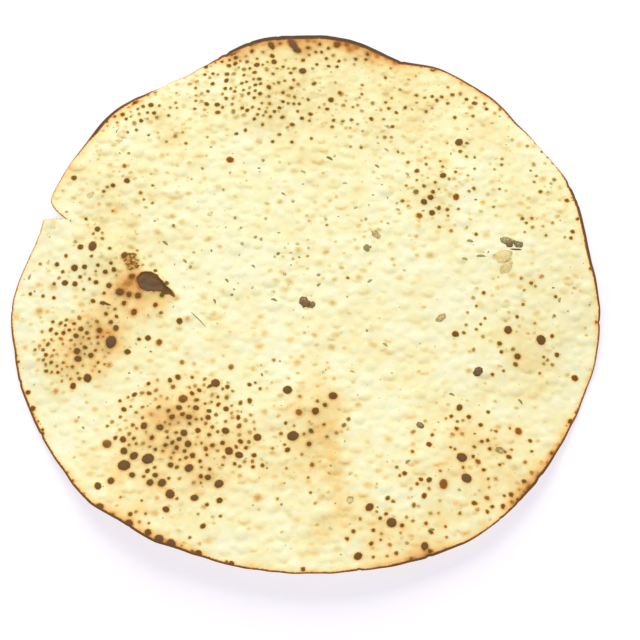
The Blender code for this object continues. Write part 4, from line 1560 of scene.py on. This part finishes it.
pepper = {
    # (across, down, length, width, height in mm, turn, sunk, tone)
    "pieces": [(305, 301.6, 4.0, 3.0, 1.5, -56, 0.15, 0.42), (311.8, 304.6, 2.1, 2.3, 1.0, -15, 0.15, 0.54),
               (505.6, 240.0, 3.6, 2.2, 1.0, -14, 0.15, 0.74), (509.4, 243.4, 2.4, 2.2, 0.9, -40, 0.15, 0.42),
               (518.6, 244.0, 2.9, 2.2, 1.0, -26, 0.15, 0.6), (513.6, 241.2, 2.6, 1.2, 0.7, -20, 0.1, 0.66),
               (515.3, 249.3, 3.7, 0.5, 0.4, -5, 0.03, 0.3),
               (388, 126, 2.4, 1.7, 0.5, -5, 0.12, 0.98), (236.5, 134, 1.4, 1.2, 0.5, 0, 0.1, 0.5),
               (477, 372, 3.4, 2.8, 1.4, 25, 0.2, 0.22), (420, 425, 2.6, 2.0, 1.0, -35, 0.2, 0.6)],
    # (x, y, length, width, height, turn, tone)
    "under": [(-30, -12, 3.6, 3.0, 1.4, 20, 0.2), (41, 33, 3.0, 2.4, 1.2, -50, 0.3),
              (12, -58, 2.6, 2.2, 1.0, 75, 0.5)],
    # ground pepper that the photo shows: (across, down, width in pixels, tone)
    "dots": [(211, 147, 3.2, 0.5), (230, 172.5, 3.2, 0.4), (223.5, 189.5, 3.2, 0.4), (263, 160.5, 4, 0.2),
             (235, 218, 3.4, 0.2), (293, 201, 4, 0.4), (303, 184, 2.6, 0.5), (241, 227.5, 3.6, 0.4),
             (191.5, 179, 3, 0.5), (255.5, 237, 4, 0.2), (261, 239, 3.4, 0.4), (242, 243.5, 3.6, 0.5),
             (278, 253.5, 4.2, 0.1), (274.5, 256.5, 3.4, 0.6), (297.5, 244, 4, 0.6), (293, 258.5, 3.4, 0.6),
             (308.5, 248, 3, 0.5), (194, 252, 3.4, 0.5), (190.5, 267, 4, 0.3), (234, 289.5, 3, 0.4),
             (232, 295, 3.6, 0.2), (252.5, 287.5, 3.4, 0.5), (284.5, 274, 4, 0.4), (318.5, 275, 4, 0.3),
             (334.5, 156, 3.4, 0.7), (378, 143, 3, 0.5), (373, 195, 2.6, 0.5), (366, 219, 4, 0.3),
             (388, 223.5, 3.6, 0.3), (397, 203, 3.4, 0.5), (369, 205, 3, 0.6), (325.5, 218.5, 3.6, 0.5),
             (355.5, 207.5, 4.4, 0.35)],
    "dotTone": (0.68, 0.7),    # tone of them all, and share of the tone given
    "dotShape": (1.0, 0.85, 0.5),
    "dotTurn": 1.1,            # radians from one to the next
    "dotSunk": 0.1,
    "dotFoldSize": 0.8,
    "dotLevels": 2,
    "underSunk": 0.2,
    "wrinkle": 0.18,
    "wrinkleSize": 0.5,
    "foldTone": (0.8, 0.5, 0.3),   # folds: from which radius, over how much of it, how much paler
    "levels": 4,
    # places in the folds from which pieces, dots and the pieces underneath take theirs, and the step
    "skins": (0, 60, 40, 1.7),
}


def pepperPieces():
    ball, faces = lump(pepper["levels"])
    small, smallFaces = lump(pepper["dotLevels"])
    ownSkin, dotSkin, underSkin, step = pepper["skins"]
    foldStart, foldReach, foldPaler = pepper["foldTone"]
    dotTone, dotShare = pepper["dotTone"]
    grains = []
    for number, (across, down, length, width, height, turn, sunk, tone) in enumerate(pepper["pieces"]):
        skin = wrinkled(ball, pepper["wrinkle"], pepper["wrinkleSize"], ownSkin + number * step)
        fold = np.clip((np.linalg.norm(skin, axis=1) - foldStart) / foldReach, 0, 1)
        size = (length / 2, width / 2, height / 2)
        points = layGrain(skin * size, *onSheet(across, down), math.radians(turn), sunk)
        grains.append((points, faces, tone - foldPaler * (fold - 0.5)))
    for number, (across, down, width, tone) in enumerate(pepper["dots"]):
        skin = wrinkled(small, pepper["wrinkle"], pepper["dotFoldSize"], dotSkin + number * step)
        radius = width * pixelSize / 2
        size = [radius * share for share in pepper["dotShape"]]
        sunk = radius * pepper["dotSunk"]
        points = layGrain(skin * size, *onSheet(across, down), number * pepper["dotTurn"], sunk)
        grains.append((points, smallFaces, tone * dotShare + dotTone))
    for number, (x, y, length, width, height, turn, tone) in enumerate(pepper["under"]):
        skin = wrinkled(ball, pepper["wrinkle"], pepper["wrinkleSize"], underSkin + number * step)
        size = (length / 2, width / 2, height / 2)
        points = layUnder(skin * size, x, y, math.radians(turn), height * pepper["underSunk"])
        grains.append((points, turnedOver(faces), tone))
    return joined("crackedPepper", grains)


groundSpice = {
    "count": 210,
    "reach": 88.0,
    "length": (0.40, 1.25),
    "lengthLean": 2.2,         # past 1, most are short
    "rimGap": 2.5,
    "charGap": (0.1, 0.5),     # from a char spot, from the burnt patch
    "width": (0.5, 0.9),       # of its length
    "flatness": (0.45, 0.8),
    "rough": 0.11,
    "roughMost": 1.5,
    "sunk": 0.12,
    "levels": 2,
    "seed": 31,
    # crumbs that stand in a ring round a seed under the skin: (across, down, radius in mm, how many)
    "rings": [(121, 132, 1.5, 7), (486, 250, 1.0, 4), (290, 248, 1.6, 7)],
    "ringArc": (90, 330),
    "ringLength": 0.55,
    "underCount": 150,
    "underReach": 84.0,
    "underLength": (0.45, 1.1),
}


def spiceCrumb(ball, faces, x, y, length, draw, lay):
    # a rough flat crumb, laid on one of the two faces
    flat = draw.uniform(*groundSpice["flatness"])
    most = groundSpice["roughMost"]
    rough = ball * (1 + groundSpice["rough"] * draw.normal(size=(len(ball), 1)).clip(-most, most))
    size = (length / 2, length / 2 * draw.uniform(*groundSpice["width"]), length / 2 * flat)
    points = lay(rough * size, x, y, draw.uniform(0, 2 * math.pi), length * groundSpice["sunk"])
    return points, faces, draw.uniform(0.0, 1.0)


def spiceCrumbs():
    draw = np.random.default_rng(groundSpice["seed"])
    ball, faces = lump(groundSpice["levels"])
    least, most = groundSpice["length"]
    charGap, patchGap = groundSpice["charGap"]
    grains = []
    for _ in range(groundSpice["count"]):
        x, y = polar(draw.uniform(0, 360), groundSpice["reach"] * math.sqrt(draw.random()))
        length = least + (most - least) * draw.random() ** groundSpice["lengthLean"]
        onPatch = readAt(patchEdge, x, y) > -patchGap
        onSpot = not darkSpots.free(x, y, length / 2, charGap)
        if insideRim(x, y) > groundSpice["rimGap"] and not onPatch and not onSpot:
            grains.append(spiceCrumb(ball, faces, x, y, length, draw, layGrain))
    for across, down, radius, count in groundSpice["rings"]:
        middleX, middleY = onSheet(across, down)
        for _ in range(count):
            x, y = polar(draw.uniform(*groundSpice["ringArc"]), radius)
            length = groundSpice["ringLength"]
            grains.append(spiceCrumb(ball, faces, middleX + x, middleY + y, length, draw, layGrain))
    for _ in range(groundSpice["underCount"]):
        x, y = polar(draw.uniform(0, 360), groundSpice["underReach"] * math.sqrt(draw.random()))
        length = draw.uniform(*groundSpice["underLength"])
        grains.append(spiceCrumb(ball, turnedOver(faces), x, y, length, draw, layUnder))
    return joined("groundSpice", grains)


husk = {
    # (across, down, length, width in mm, turn, tone)
    "flakes": [(503, 256, 6.4, 3.9, 4, 0.85), (506.5, 266.3, 5.2, 3.1, 48, 0.78),
               (121.5, 133.5, 3.0, 2.6, 20, 1.1), (90.5, 195, 2.4, 1.7, 30, 0.8),
               (376, 234, 3.4, 2.1, -34, 0.5), (441, 318, 3.2, 2.1, 35, 0.5),
               (500, 450, 2.8, 1.8, -15, 0.35), (210, 214, 1.8, 1.3, 20, 0.8), (350, 500, 2.6, 1.9, 70, 0.6)],
    "rings": 8,
    "sides": 36,
    "thickness": 0.10,
    "lift": 0.05,              # the flake lies this far above the dough
    "curl": (0.10, 3, 0.5),    # height, waves round the edge, and how much it rises between them
    "edgeWaves": ((2, 0.10), (3, 0.06), (5, 0.05), (9, 0.025)),
    "veins": (0.16, 2.5, 4),   # darkness, how many round the flake, and how they bend
    "edgeDarker": 0.14,
    "seed": 13,
}


def flakeFaces():
    # quads of both faces of a flake, in rings round its middle
    layer = (husk["rings"] + 1) * husk["sides"]
    faces = []
    for start in (0, layer):
        for ring in range(husk["rings"]):
            for side in range(husk["sides"]):
                here = start + ring * husk["sides"] + side
                there = start + ring * husk["sides"] + (side + 1) % husk["sides"]
                quad = (here, here + husk["sides"], there + husk["sides"], there)
                faces.append(quad if start == 0 else quad[::-1])
    return faces


def huskFlakes():
    # thin scraps of skin with a wavy edge, which follow the dough that they stick to
    draw = np.random.default_rng(husk["seed"])
    share, around = np.meshgrid(np.linspace(0, 1, husk["rings"] + 1),
                                2 * math.pi * np.arange(husk["sides"]) / husk["sides"], indexing="ij")
    share, around = share.ravel(), around.ravel()
    curlHeight, curlWaves, curlRise = husk["curl"]
    veinDepth, veinCount, veinBend = husk["veins"]
    veins = veinDepth * np.abs(np.sin(veinCount * around + veinBend * share)) * share
    grains = []
    for across, down, length, width, turn, tone in husk["flakes"]:
        phases = draw.uniform(0, 2 * math.pi, len(husk["edgeWaves"]))
        reach = share * (1 + sum(depth * np.sin(count * around + phase)
                                 for (count, depth), phase in zip(husk["edgeWaves"], phases)))
        along, aside = reach * np.cos(around) * length / 2, reach * np.sin(around) * width / 2
        spin = math.radians(turn)
        middleX, middleY = onSheet(across, down)
        x = middleX + along * math.cos(spin) - aside * math.sin(spin)
        y = middleY + along * math.sin(spin) + aside * math.cos(spin)
        curl = curlHeight * share ** 3 * (curlRise + np.sin(curlWaves * around + phases[0]))
        height = readAt(upperSurface, x, y) + husk["lift"] + curl
        thick = husk["thickness"] / 2 * np.sqrt(1 - share ** 2)
        points = np.vstack([np.column_stack([x, y, height + thick]), np.column_stack([x, y, height - thick])])
        tones = tone - husk["edgeDarker"] * share ** 4 - veins
        grains.append((points, flakeFaces(), np.concatenate([tones, tones])))
    return joined("huskFlakes", grains)


# colours from dark to pale, size and contrast of the mottling, roughness, height of the bump in mm,
# gloss, and how strong a mesh of dark ridges lies over it
bakedIn = {
    "toastedCumin": {
        "stops": ((0.0, shade(114, 98, 54)), (0.4, shade(150, 136, 84)), (0.75, shade(180, 168, 112)),
                  (1.0, shade(206, 194, 138))),
        "mottle": 0.35, "contrast": 0.2, "roughness": 0.62, "bump": 0.05, "gloss": 0.2, "net": 0.0},
    "crackedPepperSkin": {
        "stops": ((0.0, shade(90, 58, 30)), (0.35, shade(128, 90, 54)), (0.55, shade(124, 106, 68)),
                  (0.75, shade(148, 138, 92)), (1.0, shade(196, 184, 138))),
        "mottle": 0.7, "contrast": 0.2, "roughness": 0.55, "bump": 0.06, "gloss": 0.3, "net": 0.1},
    "groundSpice": {
        "stops": ((0.0, shade(132, 118, 74)), (0.45, shade(158, 144, 94)), (0.8, shade(182, 168, 116)),
                  (1.0, shade(204, 190, 138))),
        "mottle": 0.4, "contrast": 0.2, "roughness": 0.7, "bump": 0.04, "gloss": 0.15, "net": 0.0},
    "husk": {
        "stops": ((0.0, shade(104, 82, 48)), (0.3, shade(172, 150, 94)), (0.6, shade(206, 184, 122)),
                  (1.0, shade(226, 210, 154))),
        "mottle": 0.9, "contrast": 0.3, "roughness": 0.6, "bump": 0.05, "gloss": 0.3, "net": 0.0},
}
grainDetail = {
    "speckle": (4.0, 0.65),            # detail and roughness of the mottling
    "speckleRange": (0.25, 0.75),
    "netSize": 0.85,                   # millimetres
    "netRange": (0.04, 0.26),
    "roughRange": (0.2, 0.8),
    "roughSpread": (-0.1, 0.12),
    "bumpStrength": 0.5,
}


def grainMaterial(name):
    finish = bakedIn[name]
    grain = Recipe(name)
    speckle = grain.noise(finish["mottle"], *grainDetail["speckle"])
    contrast = finish["contrast"]
    uneven = grain.ramp(speckle, *grainDetail["speckleRange"], -contrast, contrast)
    tone = grain.maths("ADD", grain.value("tone"), uneven)
    if finish["net"]:
        inputs = {"Vector": grain.place, "Scale": 1 / (grainDetail["netSize"] * mm)}
        cells = grain.add("ShaderNodeTexVoronoi", inputs, feature="DISTANCE_TO_EDGE").outputs["Distance"]
        hollow = grain.ramp(cells, *grainDetail["netRange"], -finish["net"], finish["net"])
        tone = grain.maths("ADD", tone, hollow)
        speckle = grain.maths("SUBTRACT", speckle, hollow)
    tone = grain.maths("MAXIMUM", tone, 0.0, clamp=True)
    grain.set("Base Color", grain.colours(tone, finish["stops"]))
    least, most = (finish["roughness"] + spread for spread in grainDetail["roughSpread"])
    grain.set("Roughness", grain.ramp(speckle, *grainDetail["roughRange"], least, most))
    grain.set("Specular IOR Level", finish["gloss"])
    bump = grain.add("ShaderNodeBump", {"Height": speckle, "Strength": grainDetail["bumpStrength"],
                                        "Distance": finish["bump"] * mm})
    grain.set("Normal", bump.outputs["Normal"])
    return grain.material


def dress(piece, material):
    piece.data.materials.append(material)
    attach(piece, "root")


dress(cuminSeeds(), grainMaterial("toastedCumin"))
dress(pepperPieces(), grainMaterial("crackedPepperSkin"))
dress(spiceCrumbs(), grainMaterial("groundSpice"))
dress(huskFlakes(), grainMaterial("husk"))
print("seeds and husk bedded in the dough")

# the table and the light, in metres
studio = {
    "floorSize": 6.0,
    "floorDrop": 0.00002,      # the sheet lies this far above it
    "keyPower": 20.9,
    "keySize": 1.15,
    "keyPlace": (-0.24, 1.12, 1.02),
    "keyColour": (1.0, 0.995, 0.955),
    "fillPower": 6.2,
    "fillSize": 1.2,
    "fillPlace": (0.35, -0.95, 1.25),
    "fillColour": (1.0, 0.985, 0.92),
    "sky": (1.0, 0.99, 0.95),
    "skyStrength": 0.52,
    "tableColour": (172, 170, 173),
    "tableCloud": (60.0, 1.02),    # size in mm and contrast of its faint unevenness
    "tableRoughness": 0.8,
    "tableGlow": (0.90, 0.87, 1.0),
    "tableGlowStrength": 0.62,
}


def layTable():
    half = studio["floorSize"] / 2
    corners = [(-half, -half, 0), (half, -half, 0), (half, half, 0), (-half, half, 0)]
    mesh = bpy.data.meshes.new("table")
    mesh.from_pydata(corners, [], [(0, 1, 2, 3)])
    table = bpy.data.objects.new("table", mesh)
    table.location.z = -studio["floorDrop"]
    bpy.context.scene.collection.objects.link(table)
    top = Recipe("tableTop")
    size, contrast = studio["tableCloud"]
    plain = shade(*studio["tableColour"])
    top.set("Base Color", top.mix(top.noise(size), plain, tuple(part * contrast for part in plain)))
    top.set("Emission Color", (*studio["tableGlow"], 1.0))
    top.set("Emission Strength", studio["tableGlowStrength"])
    top.set("Roughness", studio["tableRoughness"])
    mesh.materials.append(top.material)


def hangLight(name, power, size, place, colour):
    lamp = bpy.data.lights.new(name, "AREA")
    lamp.energy = power
    lamp.size = size
    lamp.color = colour
    light = bpy.data.objects.new(name, lamp)
    light.location = place
    light.rotation_euler = (-Vector(place)).to_track_quat("-Z", "Y").to_euler()
    bpy.context.scene.collection.objects.link(light)


def lightRoom():
    hangLight("windowLight", studio["keyPower"], studio["keySize"], studio["keyPlace"], studio["keyColour"])
    hangLight("fillLight", studio["fillPower"], studio["fillSize"], studio["fillPlace"], studio["fillColour"])
    room = bpy.data.worlds.new("paleRoom")
    room.use_nodes = True
    sky = room.node_tree.nodes["Background"]
    sky.inputs["Color"].default_value = (*studio["sky"], 1)
    sky.inputs["Strength"].default_value = studio["skyStrength"]
    bpy.context.scene.world = room
    bpy.context.scene.view_settings.view_transform = "Standard"


layTable()
lightRoom()
print("table laid and lamps hung")
